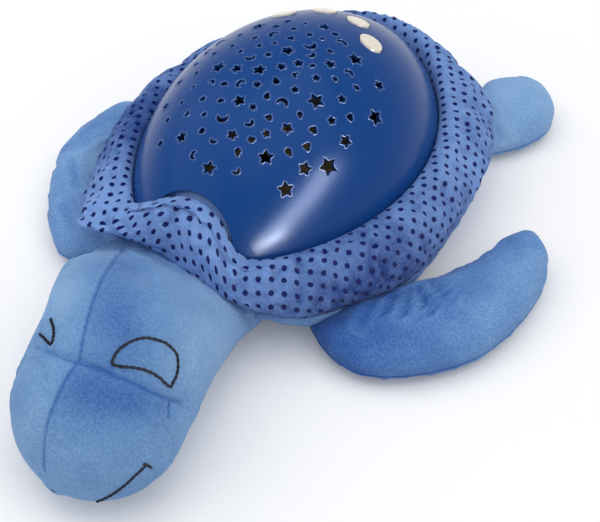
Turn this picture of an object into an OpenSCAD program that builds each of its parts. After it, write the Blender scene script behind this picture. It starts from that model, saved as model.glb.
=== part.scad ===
// Star night light projector: a hard moulded star dome with its electronics, set into a stuffed turtle.
// Millimetres. +Z is up, z = 0 is the floor, the turtle looks along -Y and its left is +X.

/* [Star dome] */
// Height of the dome's visible edge above the floor
rim_z = 43; // [36:0.5:54]
// Half width of the dome's egg shape at its long axis
dome_r = 73.4; // [60:0.1:90]
// Half length of the dome's egg shape
dome_half_l = 103.3; // [88:0.1:125]
// Radius of the egg shape's round ends
dome_end_r = 54.1; // [45:0.1:58]
// Depth of the egg shape's long axis below the visible edge
dome_drop = 16.8; // [8:0.1:24]
// Wall thickness of the dome
dome_wall = 2.2; // [1.6:0.1:3]
// Height of the hidden skirt below the visible edge
skirt_h = 5; // [4:0.5:8]
// Radius of the arched doorway over the neck
door_r = 24.9; // [18:0.1:32]

/* [Star field] */
// Number of cut-outs, counted from the middle of the field outwards
star_count = 91; // [30:1:91]
// Size of the cut-outs, where 1 is as listed
star_size = 1; // [0.7:0.05:1.15]
// Spread of the field, where 1 is as listed
field_spread = 1; // [0.85:0.01:1.04]

/* [Buttons] */
// Radius of a button cap
cap_r = 6.1; // [4.5:0.1:7.5]
// Gap between a cap and its opening
cap_gap = 0.35; // [0.2:0.05:0.6]
// How far the caps stand proud of the dome
cap_proud = 0.9; // [0.4:0.1:2]
// Travel of a button
button_travel = 0.8; // [0.4:0.1:1.2]
// Lean of the buttons towards the rear, in degrees
button_tilt = 24; // [16:1:30]
// Distance of the outer buttons from the centre line
outer_x = 25.7; // [23:0.1:28]
// Distance of the outer buttons behind the dome's middle
outer_y = 37.3; // [34:0.1:42]
// Distance of the inner buttons from the centre line
inner_x = 9.9; // [8.7:0.1:12]
// Distance of the inner buttons behind the dome's middle
inner_y = 52.6; // [49:0.1:56]

/* [Base tub] */
// How far the tub's sides lie inside the dome's
tub_in_side = 13.4; // [10:0.1:18]
// How far the tub's ends lie inside the dome's
tub_in_end = 14; // [11:0.1:18]
// How much tighter the tub's round ends are than the dome's
tub_in_round = 12.1; // [8:0.1:16]
// Wall thickness of the tub
tub_wall = 2.2; // [1.6:0.1:3]
// Thickness of the tub's floor
floor_t = 3.4; // [3.2:0.1:4.2]
// Height of the tub's underside above the floor that the toy rests on
tub_z = 2; // [1:0.5:4]
// Width of the flange beyond the dome's edge
flange_over = 1.4; // [0.8:0.1:3]
// Thickness of the flange
flange_t = 2.4; // [1.8:0.1:3]
// Thickness of the light deck
deck_t = 2.2; // [1.6:0.1:3]

// Distance of the light board in front of the dome's middle
light_y = 21; // [16:0.5:26]

/* [Battery bay] */
// Diameter of a cell
cell_d = 14.5; // [14.3:0.1:14.5]
// Length of a cell
cell_l = 50.5; // [49.5:0.1:50.5]
// Wall thickness of the battery box
box_wall = 1.6; // [1.2:0.1:2]
// Length of a fitted battery spring
spring_l = 5.3; // [4:0.1:7]
// Distance of the battery bay behind the dome's middle
bay_y = 32; // [28:0.5:36]

/* [Speaker] */
// Diameter of the loudspeaker
speaker_d = 40; // [36:1:48]
// Height of the loudspeaker
speaker_h = 16; // [12:1:20]
// Distance of the loudspeaker in front of the dome's middle
speaker_y = 50; // [48:0.5:54]

/* [Soft body] */
// Width of the padded collar beside the dome
collar_side = 18.6; // [14:0.1:28]
// Reach of the collar in front of the dome
collar_front = 4.7; // [3:0.1:16]
// Reach of the collar behind the dome
collar_rear = 8.7; // [3:0.1:16]
// Height of the collar's crest above the dome's visible edge
crest_up = 7.5; // [5:0.5:14]
// Depth of the seam between belly and collar below the dome's visible edge
seam_down = 22; // [16:0.5:26]
// Gap that soft pieces keep from their neighbours
soft_gap = 0.4; // [0.3:0.05:0.8]

/* [Head and flippers] */
// Reach of the snout in front of the collar
head_l = 122; // [100:1:150]
// Half width of the head
head_hw = 42; // [34:0.5:48]
// Sideways turn of the snout
head_turn = 26; // [0:1:40]
// Reach of a front flipper beside the collar
flipper_out = 51; // [35:1:65]
// Half width of a front flipper's blade
flipper_hw = 25; // [16:0.5:27]
// How much closer to the body the turtle's right front flipper lies
front_tuck = 20; // [0:1:30]
// Thickness of a flipper
flipper_t = 25; // [16:0.5:26]
// Reach of the rear flippers behind the collar
rear_out = 39; // [32:1:60]
// Half width of a rear flipper's blade
rear_hw = 22; // [14:0.5:24]
// How far the tip of the turtle's right rear flipper is turned in
rear_turn = 30; // [0:1:32]

/* [Hidden] */
$fn = 48;

body_hw = dome_r + collar_side;
body_front = dome_half_l + collar_front;
body_rear = dome_half_l + collar_rear;
head_reach = body_front + head_l;
rear_reach = body_rear + rear_out;
flipper_span = body_hw + flipper_out;
crest_z = rim_z + crest_up;
seam_z = rim_z - seam_down;
tub_hw = dome_r - tub_in_side;
tub_hl = dome_half_l - tub_in_end;
tub_end_r = dome_end_r - tub_in_round;

// The plan is centred on the whole toy, so the dome's middle lies behind the origin and to the right of it
dome_y = (head_reach - rear_reach) / 2;
dome_x = -front_tuck / 2;
axis_z = rim_z - dome_drop;             // height of the egg shape's long axis
dome_floor = rim_z - skirt_h;           // height where dome, deck and tub meet
tub_floor = tub_z + floor_t;            // inside face of the tub's floor
big = 1000;                             // larger than the toy, for half-space cuts
side_r = arc_r(dome_r, dome_half_l, dome_end_r);
dome_tangent = arc_end(dome_r, dome_half_l, dome_end_r);

// Fastener sizes
screw_r = 1.5;
screw_pilot_r = 1.55;
screw_hole_r = 1.9;
screw_head_r = 2.8;
screw_head_h = 2.2;
small_screw_r = 1;
small_pilot_r = 1.05;
small_hole_r = 1.3;
small_head_r = 1.9;
small_head_h = 1.4;

// Radius of the side arc of an oval made of four arcs, and where it meets the end arc
function arc_r(hw, hl, er) = (hw * hw + pow(hl - er, 2) - er * er) / (2 * (hw - er));
function arc_end(hw, hl, er) = (hl - er) * arc_r(hw, hl, er) / (arc_r(hw, hl, er) - er);

// Radius of the egg shape at a distance along it, and the height of its skin above the floor
function egg_r(y) = abs(y) < dome_tangent
    ? sqrt(side_r * side_r - y * y) - (side_r - dome_r)
    : sqrt(dome_end_r * dome_end_r - pow(abs(y) - (dome_half_l - dome_end_r), 2));
function skin_z(x, y) = axis_z + sqrt(pow(egg_r(y), 2) - x * x);

module placed() { translate([dome_x, dome_y, 0]) children(); }

// Oval of two side arcs and two round ends. The ends are a hair wider than tangent, so that each crosses the
// side arcs at one clear point
end_over = 0.004;
module oval(hw, hl, er) {
    arc = arc_r(hw, hl, er);
    meet = arc_end(hw, hl, er);
    intersection() {
        translate([hw - arc, 0]) circle(arc, $fn = 240);
        translate([arc - hw, 0]) circle(arc, $fn = 240);
        union() {
            translate([-hw, -meet]) square([2 * hw, 2 * meet]);
            for (side = [-1, 1]) translate([0, side * (hl - er)]) circle(er + end_over, $fn = 120);
        }
    }
}

// Solid egg that every curved face of the dome is taken from, grown or shrunk by off
module egg(off) {
    hw = dome_r + off;
    hl = dome_half_l + off;
    translate([0, 0, axis_z]) rotate([-90, 0, 0]) rotate_extrude($fn = 120) intersection() {
        oval(hw, hl, dome_end_r + off);
        translate([0, -hl - 1]) square([hw + 1, 2 * hl + 2]);
    }
}

// Everything between two heights
module slab(low, high) { translate([-big / 2, -big / 2, low]) cube([big, big, high - low]); }

// Frame on the dome's skin: around turns about the long axis, along moves to the rear, z points out
module on_dome(around, along) {
    translate([0, 0, axis_z]) rotate([0, around, 0])
        translate([0, side_r * sin(along), side_r * cos(along) - (side_r - dome_r)])
        rotate([-along, 0, 0]) children();
}

// ---------------------------------------------------------------- cut-outs of the star field

STAR = 0;
MOON = 1;
DROP = 2;
HEART = 3;
DOT = 4;
cut_depth = 6;
// The field from its middle outwards: [degrees round the long axis, degrees to the rear, kind, half width]
field = [
    [-12.5, 11, DOT, 2.4], [-5, 11.8, DOT, 1.6], [-22.9, 7.4, STAR, 3.8], [-14.1, 7.5, DOT, 2.4],
    [-6, 7.8, STAR, 2.2], [2.8, 13.2, STAR, 3.7], [-27, 3.1, DOT, 1.7], [-10.6, 3.6, MOON, 2.9],
    [-17.1, 1.2, STAR, 2.3], [-3, 3.6, HEART, 2.2], [1.7, 7.3, STAR, 2.2], [7.2, 8, DROP, 1.6],
    [9.1, 12, DOT, 2.3], [14.1, 10, MOON, 2.7], [-35.9, 1.5, MOON, 2.4], [-24.3, -2.3, DOT, 1.8],
    [-11.5, -1.9, DROP, 1.8], [-6.5, 0.2, DROP, 1.6], [5.7, 3.6, MOON, 3.2], [-17.7, -4.6, STAR, 2],
    [0.3, -1, STAR, 3.6], [13.1, 4.9, DROP, 1.9], [-31.4, -4.5, STAR, 2], [-38.5, -2, MOON, 2.2],
    [-5, -4.2, STAR, 2], [-11, -6.3, MOON, 2.5], [8.8, 0.8, MOON, 2.3], [22.8, 7.6, STAR, 4.2],
    [-39.5, -6.7, DOT, 1.8], [-22.2, -10.4, STAR, 4], [-13, -10.5, STAR, 3.2], [-3.7, -9.4, STAR, 3.6],
    [3.2, -6.4, STAR, 2.7], [7.7, -3.4, STAR, 2.8], [12.7, -2, DROP, 1.7], [17.2, 1.2, STAR, 3],
    [25, 2.3, MOON, 2.4], [-33.1, -11.3, STAR, 1.9], [10.4, -6.8, MOON, 1.9], [17, -4.6, STAR, 2.3],
    [22.8, -1.8, DROP, 1.7], [-43.2, -12.2, STAR, 2.4], [-29.3, -16.1, DROP, 1.6],
    [-20.6, -15.3, MOON, 2], [-14.2, -15.4, DROP, 2.1], [-6.8, -14.5, MOON, 2.5],
    [-0.3, -13.4, STAR, 2.4], [5.7, -10.8, DROP, 2.4], [31, 0.4, DROP, 1.9], [36.6, 6.2, STAR, 3.1],
    [13.7, -10.4, STAR, 2.3], [-20.3, -20, STAR, 2.1], [-11.2, -20, DROP, 1.9], [-3, -18.8, STAR, 3.5],
    [6.3, -15.4, DROP, 2.2], [22.8, -9.8, STAR, 4.3], [29.7, -5, STAR, 2.5], [-32.1, -20.5, DOT, 1.6],
    [4, -19.1, STAR, 2.1], [13.1, -15, MOON, 2.8], [-44.4, -19.5, STAR, 2.9], [-25.4, -24.1, DROP, 1.9],
    [-15.5, -24, STAR, 1.8], [-5.9, -23.8, MOON, 3], [6.5, -22.8, MOON, 2.2], [12.4, -19.6, HEART, 2],
    [21.4, -14.9, DROP, 1.9], [32.4, -11.1, STAR, 2.5], [36.6, -7.1, HEART, 2.2],
    [43.8, -1.6, STAR, 4.4], [-37.7, -24.6, STAR, 2], [-12.8, -28, DOT, 2.1], [21.2, -19.4, STAR, 3.1],
    [29.6, -15.8, HEART, 2.3], [-23.5, -29.9, STAR, 3.3], [2.7, -26.9, STAR, 2.9],
    [15.6, -23.1, STAR, 2.3], [11.8, -26, HEART, 2], [-4.5, -29.5, MOON, 1.8],
    [-38.3, -30.6, STAR, 2.3], [41.9, -12.1, STAR, 3.4], [9.3, -29.6, DROP, 2.2],
    [27.7, -23.4, DROP, 2.3], [32.2, -19.8, HEART, 2.3], [-11.7, -33.8, MOON, 2.2],
    [21.9, -27.5, STAR, 3.8], [-0.1, -35.6, STAR, 3.7], [14, -33.5, MOON, 1.9],
    [38.1, -23.6, STAR, 3.5], [44.3, -19.2, STAR, 4.8], [38.8, -29.8, STAR, 4]
];

module star_shape(tip) {
    points = 5;
    waist = 0.5;
    polygon([for (i = [0:2 * points - 1]) let(r = i % 2 == 0 ? tip : tip * waist, a = 180 / points * i)
        [r * sin(a), r * cos(a)]]);
}
module moon_shape(r) {
    difference() { circle(r, $fn = 24); translate([r * 0.55, r * 0.25]) circle(r * 0.82, $fn = 24); }
}
module drop_shape(r) {
    circle(r * 0.7, $fn = 24);
    polygon([[-r * 0.62, r * 0.33], [0, r * 1.45], [r * 0.62, r * 0.33], [0, -r * 0.3]]);
}
module heart_shape(r) {
    for (side = [-1, 1]) translate([side * r * 0.42, r * 0.25]) circle(r * 0.52, $fn = 24);
    polygon([[-r * 0.86, 0], [0, -r], [r * 0.86, 0], [0, r * 0.35]]);
}
module dot_shape(r) { circle(r, $fn = 24); }

module cutout(kind, half_w) {
    if (kind == STAR) star_shape(half_w / cos(18));
    else if (kind == MOON) moon_shape(half_w);
    else if (kind == DROP) drop_shape(half_w);
    else if (kind == HEART) heart_shape(half_w);
    else dot_shape(half_w * 0.8);
}
module star_field() {
    turn_step = 47;
    for (i = [0:star_count - 1]) on_dome(field[i][0] * field_spread, field[i][1] * field_spread)
        linear_extrude(height = 2 * cut_depth, center = true) rotate(turn_step * i)
            cutout(field[i][2], field[i][3] * star_size);
}

// ---------------------------------------------------------------- buttons

// Buttons from the turtle's right to its left: [x, y]
button_at = [[-outer_x, outer_y], [-inner_x, inner_y], [inner_x, inner_y], [outer_x, outer_y]];
sleeve_depth = cap_r;                   // from the skin to the lower end of a guide sleeve
sleeve_r = cap_r + cap_gap + 1.6;
flange_r = cap_r + 1.5;
flange_h = 1.2;
flange_gap = 0.2;
board_drop = 16;                        // from the skin at the outer buttons to the board's underside
board_t = 1.6;
switch_w = 6;
switch_h = 3.5;
plunger_r = 1.7;
plunger_gap = 0.1;
plunger_base = board_t + button_travel + 0.3;
plunger_top = board_t + switch_h + 1.6;

// Place of a point in the buttons' own frame, whose z is their line of travel
function travel_v(p) = p[1] * cos(button_tilt) - skin_z(p[0], p[1]) * sin(button_tilt);
function travel_h(p) = p[1] * sin(button_tilt) + skin_z(p[0], p[1]) * cos(button_tilt);
board_h = min([for (p = button_at) travel_h(p)]) - board_drop;
board_mid_v = (travel_v(button_at[0]) + travel_v(button_at[1])) / 2;
button_board_w = 2 * outer_x + 12;
button_board_l = 32;
board_boss_at = [[0, travel_v(button_at[0]) - 3], [-outer_x - 2, travel_v(button_at[1]) + 3],
    [outer_x + 2, travel_v(button_at[1]) + 3]];
board_boss_r = 2.8;
board_boss_pilot = 8;

module travel_frame() { rotate([-button_tilt, 0, 0]) children(); }
module at_button(i) {
    travel_frame() translate([button_at[i][0], travel_v(button_at[i]), travel_h(button_at[i])]) children();
}

module cap(i) {
    color("antiquewhite") placed() {
        intersection() {
            at_button(i) translate([0, 0, -sleeve_depth - flange_gap - flange_h / 2])
                cylinder(r = cap_r, h = 3 * sleeve_depth);
            egg(cap_proud);
        }
        at_button(i) translate([0, 0, -sleeve_depth - flange_gap - flange_h])
            cylinder(r = flange_r, h = flange_h);
        stem_top = travel_h(button_at[i]) - sleeve_depth - flange_gap - flange_h / 2;
        travel_frame() translate([button_at[i][0], travel_v(button_at[i]), board_h + plunger_top])
            cylinder(r = plunger_r + 0.5, h = stem_top - board_h - plunger_top);
    }
}
module plunger(i) {
    color("black") placed() travel_frame()
        translate([button_at[i][0], travel_v(button_at[i]), board_h + plunger_base])
        cylinder(r = plunger_r, h = plunger_top - plunger_base);
}

// ---------------------------------------------------------------- dome

boss_r = 3.8;
boss_front = [door_r + boss_r + 0.8, -(tub_hl - 19.3)];   // the front pair stands beside the doorway
boss_rear = [tub_hw - 22, tub_hl - 35.3];
boss_at = [for (x = [-1, 1]) for (p = [boss_front, boss_rear]) [x * p[0], p[1]]];
boss_rib_t = 1.4;
boss_rib_l = 4;                         // reach of a boss's ribs beyond it
boss_rib_up = 7;                        // from the deck to the foot of the ribs
boss_pilot_l = 12;

module star_dome() {
    color([0.13, 0.27, 0.53]) placed() difference() {
        union() {
            difference() {
                egg(0);
                egg(-dome_wall);
                slab(-big, dome_floor);
                star_field();
            }
            // screw bosses, each with a rib to the front and to the rear
            for (p = boss_at) intersection() {
                translate([p[0], p[1], dome_floor + deck_t]) union() {
                    cylinder(r = boss_r, h = big);
                    translate([-boss_rib_t / 2, -boss_r - boss_rib_l, boss_rib_up])
                        cube([boss_rib_t, 2 * (boss_r + boss_rib_l), big]);
                }
                egg(-dome_wall / 2);
            }
            // guide sleeves of the buttons
            for (i = [0:3]) intersection() {
                at_button(i) translate([0, 0, -sleeve_depth]) cylinder(r = sleeve_r, h = 3 * sleeve_depth);
                egg(-dome_wall / 2);
            }
            // bosses that carry the button board
            for (p = board_boss_at) intersection() {
                travel_frame() translate([p[0], p[1], board_h + board_t]) cylinder(r = board_boss_r, h = big);
                egg(-dome_wall / 2);
            }
        }
        doorway(0);
        translate([-door_r, -big - dome_half_l / 2, dome_floor - 1]) cube([2 * door_r, big, skirt_h + 1]);
        for (p = boss_at) translate([p[0], p[1], dome_floor]) cylinder(r = screw_pilot_r, h = boss_pilot_l);
        for (i = [0:3]) at_button(i) translate([0, 0, -2 * sleeve_depth])
            cylinder(r = cap_r + cap_gap, h = 4 * sleeve_depth);
        for (p = board_boss_at) travel_frame() translate([p[0], p[1], board_h])
            cylinder(r = small_pilot_r, h = board_t + board_boss_pilot);
    }
}

// ---------------------------------------------------------------- base tub

flange_hw = egg_width(dome_floor) + flange_over;
flange_hl = egg_length(dome_floor) + flange_over;
function egg_width(z) = sqrt(dome_r * dome_r - pow(z - axis_z, 2));
function egg_length(z) = dome_half_l - dome_end_r + sqrt(pow(dome_end_r, 2) - pow(z - axis_z, 2));
lip_gap = 0.4;                          // between the dome's inside and the tub's neck lip
lip_t = 2;
plinth_h = 1.6;                         // stepped edge round the tub's underside
plinth_in = 1;
wall_rib_l = 6;
wall_rib_at = [-42, -28, -14, 0, 14, 28, 42];
floor_rib_y = -8;
floor_rib_h = 6;
post_r = 5;
screw_seat_z = 28;
grille_hole_r = 1.3;
grille_pitch = 5;
grille_rings = floor((speaker_d / 2 - 4) / grille_pitch);

bay_l = cell_l + spring_l + 1.2;        // inside length of the battery bay, across the toy
cell_count = 3;                         // the node list names three cells
cell_pitch = cell_d + 0.5;
bay_w = cell_pitch * cell_count;
door_edge = 2;                          // how far the door's recess runs past the bay
door_gap = 0.3;
door_t = 2.2;
door_post_r = 3.4;
door_post_h = 9;
door_ear_r = 5.5;
door_ear_y = bay_w / 2 + box_wall + door_post_r + 0.3;
door_screw_h = 1.2;                     // height of a door screw's flat head
door_sink = 1.4;                        // depth of the recess for it
notch_r = 5;
notch_depth = 1;
door_rib_h = tub_floor - tub_z - door_t - 0.2;

module tub_outline(inset) { oval(tub_hw - inset, tub_hl - inset, tub_end_r - inset); }
module door_outline(grow) {
    square([bay_l + 2 * door_edge + 2 * grow, bay_w + 2 * door_edge + 2 * grow], center = true);
    for (side = [-1, 1]) translate([0, side * door_ear_y]) circle(door_ear_r + grow);
}

module base_tub() {
    color([0.16, 0.31, 0.56]) placed() difference() {
        union() {
            difference() {
                union() {
                    translate([0, 0, tub_z]) linear_extrude(plinth_h + 0.1) tub_outline(plinth_in);
                    translate([0, 0, tub_z + plinth_h])
                        linear_extrude(dome_floor - tub_z - plinth_h) tub_outline(0);
                    translate([0, 0, dome_floor - flange_t]) linear_extrude(flange_t)
                        oval(flange_hw, flange_hl, dome_end_r);
                }
                translate([0, 0, tub_floor]) linear_extrude(big) tub_outline(tub_wall);
            }
            // posts for the housing screws, and ribs that stiffen the wall and the floor
            for (p = boss_at) translate([p[0], p[1], tub_z]) cylinder(r = post_r, h = dome_floor - tub_z);
            intersection() {
                translate([0, 0, tub_floor - 0.5]) linear_extrude(big) tub_outline(tub_wall / 2);
                union() {
                    for (side = [-1, 1]) for (y = wall_rib_at)
                        translate([side * (tub_hw - wall_rib_l / 2) - wall_rib_l / 2, y - rib_t / 2, 0])
                            cube([wall_rib_l, rib_t, dome_floor - 1]);
                    translate([-tub_hw, floor_rib_y - rib_t / 2, 0])
                        cube([2 * tub_hw, rib_t, tub_floor + floor_rib_h]);
                }
            }
            // posts for the door screws
            for (side = [-1, 1]) translate([0, bay_y + side * door_ear_y, tub_z + 0.5])
                cylinder(r = door_post_r, h = floor_t + door_post_h);
            // locating rib and posts round the loudspeaker
            translate([0, -speaker_y, tub_z + 0.5]) difference() {
                cylinder(r = speaker_d / 2 + rib_gap + rib_t, h = floor_t - 0.5 + speaker_flange_t);
                translate([0, 0, -1]) cylinder(r = speaker_d / 2 + rib_gap, h = big);
            }
            for (a = ring_ears) translate([0, -speaker_y, tub_z + 0.5]) rotate(a)
                translate([ring_ear_x, 0, 0]) cylinder(r = ring_post_r, h = floor_t - 0.5 + speaker_flange_t);
            // lip that closes the doorway behind the neck
            intersection() {
                difference() { egg(-dome_wall - lip_gap); egg(-dome_wall - lip_gap - lip_t); }
                slab(dome_floor - 0.5, big);
                translate([0, -dome_half_l / 2, rim_z]) rotate([90, 0, 0])
                    linear_extrude(big) union() {
                        circle(door_r + 4, $fn = 96);
                        translate([-door_r - 4, -skirt_h - 1]) square([2 * door_r + 8, skirt_h + 1]);
                    }
            }
        }
        for (p = boss_at) translate([p[0], p[1], 0]) {
            cylinder(r = screw_head_r + 0.5, h = screw_seat_z);
            cylinder(r = screw_hole_r, h = big);
        }
        // battery opening and the recess that the door lies in
        translate([-bay_l / 2, bay_y - bay_w / 2, 0]) cube([bay_l, bay_w, tub_floor + 1]);
        translate([0, bay_y, 0]) linear_extrude(tub_z + door_t + 0.1) door_outline(door_gap);
        for (side = [-1, 1]) translate([0, bay_y + side * door_ear_y, 0])
            cylinder(r = screw_pilot_r, h = tub_floor + door_post_h - 1);
        // speaker grille
        translate([0, -speaker_y, 0]) {
            cylinder(r = grille_hole_r, h = tub_floor + 1);
            for (ring = [1:grille_rings]) for (i = [0:6 * ring - 1])
                rotate(60 / ring * i) translate([grille_pitch * ring, 0, 0])
                    cylinder(r = grille_hole_r, h = tub_floor + 1);
            for (a = ring_ears) rotate(a) translate([ring_ear_x, 0, tub_z + 1])
                cylinder(r = small_pilot_r, h = big / 10);
        }
    }
}

// ---------------------------------------------------------------- light deck and light board

led_window_r = 9.5;
window_rim_t = 1.4;
window_rim_h = 3;
led_board_r = 17;
led_board_z = dome_floor - 8.4;
led_post_x = 13;
led_post_r = 2.6;
led_r = 2.5;
led_h = 6.1;
led_ring = 4.6;
ribbon_slot = [16, 6];
ribbon_y = 20;

module light_deck() {
    color("wheat") placed() difference() {
        union() {
            intersection() {
                egg(-dome_wall - lip_gap - lip_t - lip_gap);
                slab(dome_floor, dome_floor + deck_t);
            }
            for (side = [-1, 1]) translate([side * led_post_x, -light_y, led_board_z + board_t])
                cylinder(r = led_post_r, h = dome_floor + 0.5 - led_board_z - board_t);
            translate([0, -light_y, dome_floor + deck_t - 0.1])
                cylinder(r = led_window_r + window_rim_t, h = window_rim_h + 0.1);
        }
        for (p = boss_at) translate([p[0], p[1], dome_floor - 1]) cylinder(r = screw_hole_r, h = deck_t + 2);
        translate([0, -light_y, dome_floor - 1]) cylinder(r = led_window_r, h = deck_t + window_rim_h + 2);
        translate([-ribbon_slot[0] / 2, ribbon_y - ribbon_slot[1] / 2, dome_floor - 1])
            cube([ribbon_slot[0], ribbon_slot[1], deck_t + 2]);
        for (side = [-1, 1]) translate([side * led_post_x, -light_y, led_board_z])
            cylinder(r = small_pilot_r, h = board_t + 7);
    }
}
module led_board() {
    color("seagreen") placed() translate([0, -light_y, led_board_z]) difference() {
        cylinder(r = led_board_r, h = board_t);
        for (side = [-1, 1]) translate([side * led_post_x, 0, -1])
            cylinder(r = small_hole_r, h = board_t + 2);
    }
}
module led(turn, tint) {
    color(tint) placed() translate([0, -light_y, led_board_z + board_t]) rotate(turn)
        translate([0, led_ring, 0]) {
            cylinder(r = led_r + 0.4, h = 1);
            cylinder(r = led_r, h = led_h);
            translate([0, 0, led_h]) sphere(led_r);
        }
}

// ---------------------------------------------------------------- main board

box_h = cell_d + 0.8 + box_wall;
box_top = tub_floor + box_h;
main_board_z = box_top + 4;
main_board_w = 56;
main_board_l = 40;
main_post_at = [for (x = [-1, 1]) for (y = [-1, 1]) [x * (main_board_w / 2 - 4), y * (main_board_l / 2 - 4)]];
socket_size = [7, 4.5, 4];
socket_at = [[-20, 4], [-20, -6], [6, -15]];   // battery, speaker and light board sockets
ribbon_socket_y = -4;
ribbon_socket_h = 3;

module main_board() {
    color("darkgreen") placed() translate([0, bay_y, main_board_z]) difference() {
        translate([-main_board_w / 2, -main_board_l / 2, 0]) cube([main_board_w, main_board_l, board_t]);
        for (p = main_post_at) translate([p[0], p[1], -1]) cylinder(r = small_hole_r, h = board_t + 2);
    }
}
module on_main_board() { placed() translate([0, bay_y, main_board_z + board_t]) children(); }
module sound_chip() {
    leg_pitch = 1.27;
    color("dimgray") on_main_board() {
        translate([2, 2, 0.2]) cube([7.5, 10, 1.8]);
        for (i = [0:6]) translate([0.6, 2.6 + i * leg_pitch, 0]) cube([10.3, 0.5, 0.6]);
    }
}
module capacitors() {
    color("navy") on_main_board() for (x = [16, 23]) translate([x, 6, 0]) {
        cylinder(r = 2.5, h = 5.4);
        translate([0, 0, 5.4]) cylinder(r = 2.1, h = 0.4);
    }
}
module wire_sockets() {
    color("ivory") on_main_board() {
        for (p = socket_at) translate([p[0] - socket_size[0] / 2, p[1] - socket_size[1] / 2, 0])
            cube(socket_size);
        translate([-ribbon_slot[0] / 2 - 1, ribbon_socket_y - 2.5, 0])
            cube([ribbon_slot[0] + 2, 4, ribbon_socket_h]);
    }
}

// ---------------------------------------------------------------- button board

module button_board() {
    color("seagreen") placed() travel_frame() difference() {
        translate([-button_board_w / 2, board_mid_v - button_board_l / 2, board_h])
            cube([button_board_w, button_board_l, board_t]);
        for (p = board_boss_at) translate([p[0], p[1], board_h - 1])
            cylinder(r = small_hole_r, h = board_t + 2);
    }
}
module tact_switches() {
    color("silver") placed() travel_frame() for (p = button_at)
        translate([p[0], travel_v(p), board_h + board_t]) difference() {
            translate([-switch_w / 2, -switch_w / 2, 0]) cube([switch_w, switch_w, switch_h]);
            translate([0, 0, -1]) cylinder(r = plunger_r + plunger_gap, h = switch_h + 2);
        }
}

// ---------------------------------------------------------------- loudspeaker

speaker_flange_t = 1.8;
rib_gap = 0.3;
rib_t = 1.6;
magnet_h = 6;
magnet_r = 11;
basket_r = 12.5;
ring_ears = [90, 210, 330];
ring_post_r = 2.6;
ring_ear_x = speaker_d / 2 + 4.4;
ring_t = 1.6;

module at_speaker() { placed() translate([0, -speaker_y, tub_floor]) children(); }
module speaker_frame() {
    outer = speaker_d / 2;
    basket_h = speaker_h - magnet_h;
    window_w = 8;
    color("gray") at_speaker() difference() {
        rotate_extrude() polygon([[outer - 3, 0], [outer, 0], [outer, speaker_flange_t],
            [outer - 2.4, speaker_flange_t], [basket_r, basket_h], [0, basket_h], [0, basket_h - 1.2],
            [basket_r - 1, basket_h - 1.2], [outer - 3.6, 1.2], [outer - 3, 1.2]]);
        for (a = [45:90:315]) rotate(a) translate([basket_r - 0.5, -window_w / 2, 3.4])
            cube([outer, window_w, basket_h - 5.4]);
    }
}
module speaker_cone() {
    rim = speaker_d / 2 - 3.4;
    color("black") at_speaker() rotate_extrude() polygon([[0, 6.6], [4, 6.6], [rim - 1, 1], [rim, 1],
        [rim, 0.2], [rim - 1.4, 0.2], [4, 5.6], [0, 5.6]]);
}
module speaker_magnet() {
    color("silver") at_speaker() translate([0, 0, speaker_h - magnet_h]) {
        cylinder(r = magnet_r, h = magnet_h - 1);
        cylinder(r = magnet_r - 3, h = magnet_h);
    }
}
module speaker_ring() {
    color("ivory") at_speaker() translate([0, 0, speaker_flange_t]) difference() {
        union() {
            cylinder(r = speaker_d / 2 + rib_gap + rib_t, h = ring_t);
            for (a = ring_ears) rotate(a) translate([ring_ear_x, 0, 0])
                cylinder(r = ring_post_r + 0.4, h = ring_t);
        }
        translate([0, 0, -1]) cylinder(r = speaker_d / 2 - 2.2, h = ring_t + 2);
        for (a = ring_ears) rotate(a) translate([ring_ear_x, 0, -1])
            cylinder(r = small_hole_r, h = ring_t + 2);
    }
}

// ---------------------------------------------------------------- battery bay

cell_z = tub_floor + cell_d / 2;
nub_l = 1.3;
nub_r = 2.7;
plate_t = 0.4;
spring_wire_r = 0.45;
divider_t = 1.2;                        // rib between two cells
divider_h = 3;
function cell_y(i) = bay_y + (i - (cell_count - 1) / 2) * cell_pitch;
function cell_dir(i) = i % 2 == 0 ? 1 : -1;

module battery_box() {
    color("ivory") placed() translate([0, bay_y, tub_floor]) difference() {
        union() {
            translate([-bay_l / 2 - box_wall, -bay_w / 2 - box_wall, 0])
                cube([bay_l + 2 * box_wall, bay_w + 2 * box_wall, box_h]);
            for (p = main_post_at) translate([p[0], p[1], box_h - 0.5])
                cylinder(r = 2.4, h = main_board_z - box_top + 0.5);
        }
        difference() {
            translate([-bay_l / 2, -bay_w / 2, -1]) cube([bay_l, bay_w, box_h - box_wall + 1]);
            // ribs under the roof, between the cells
            translate([-cell_l / 2, -(bay_w + divider_t) / 2, box_h - box_wall - divider_h])
                for (i = [1:cell_count - 1])
                    translate([0, cell_pitch * i, 0]) cube([cell_l, divider_t, divider_h + 1]);
        }
        // notches for the leads
        for (y = [0, 8]) translate([-bay_l / 2 - box_wall - 1, y - 1, -1]) cube([box_wall + 2, 2, 3.2]);
        for (p = main_post_at) translate([p[0], p[1], box_h - 1]) cylinder(r = small_pilot_r, h = big / 10);
    }
}
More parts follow.
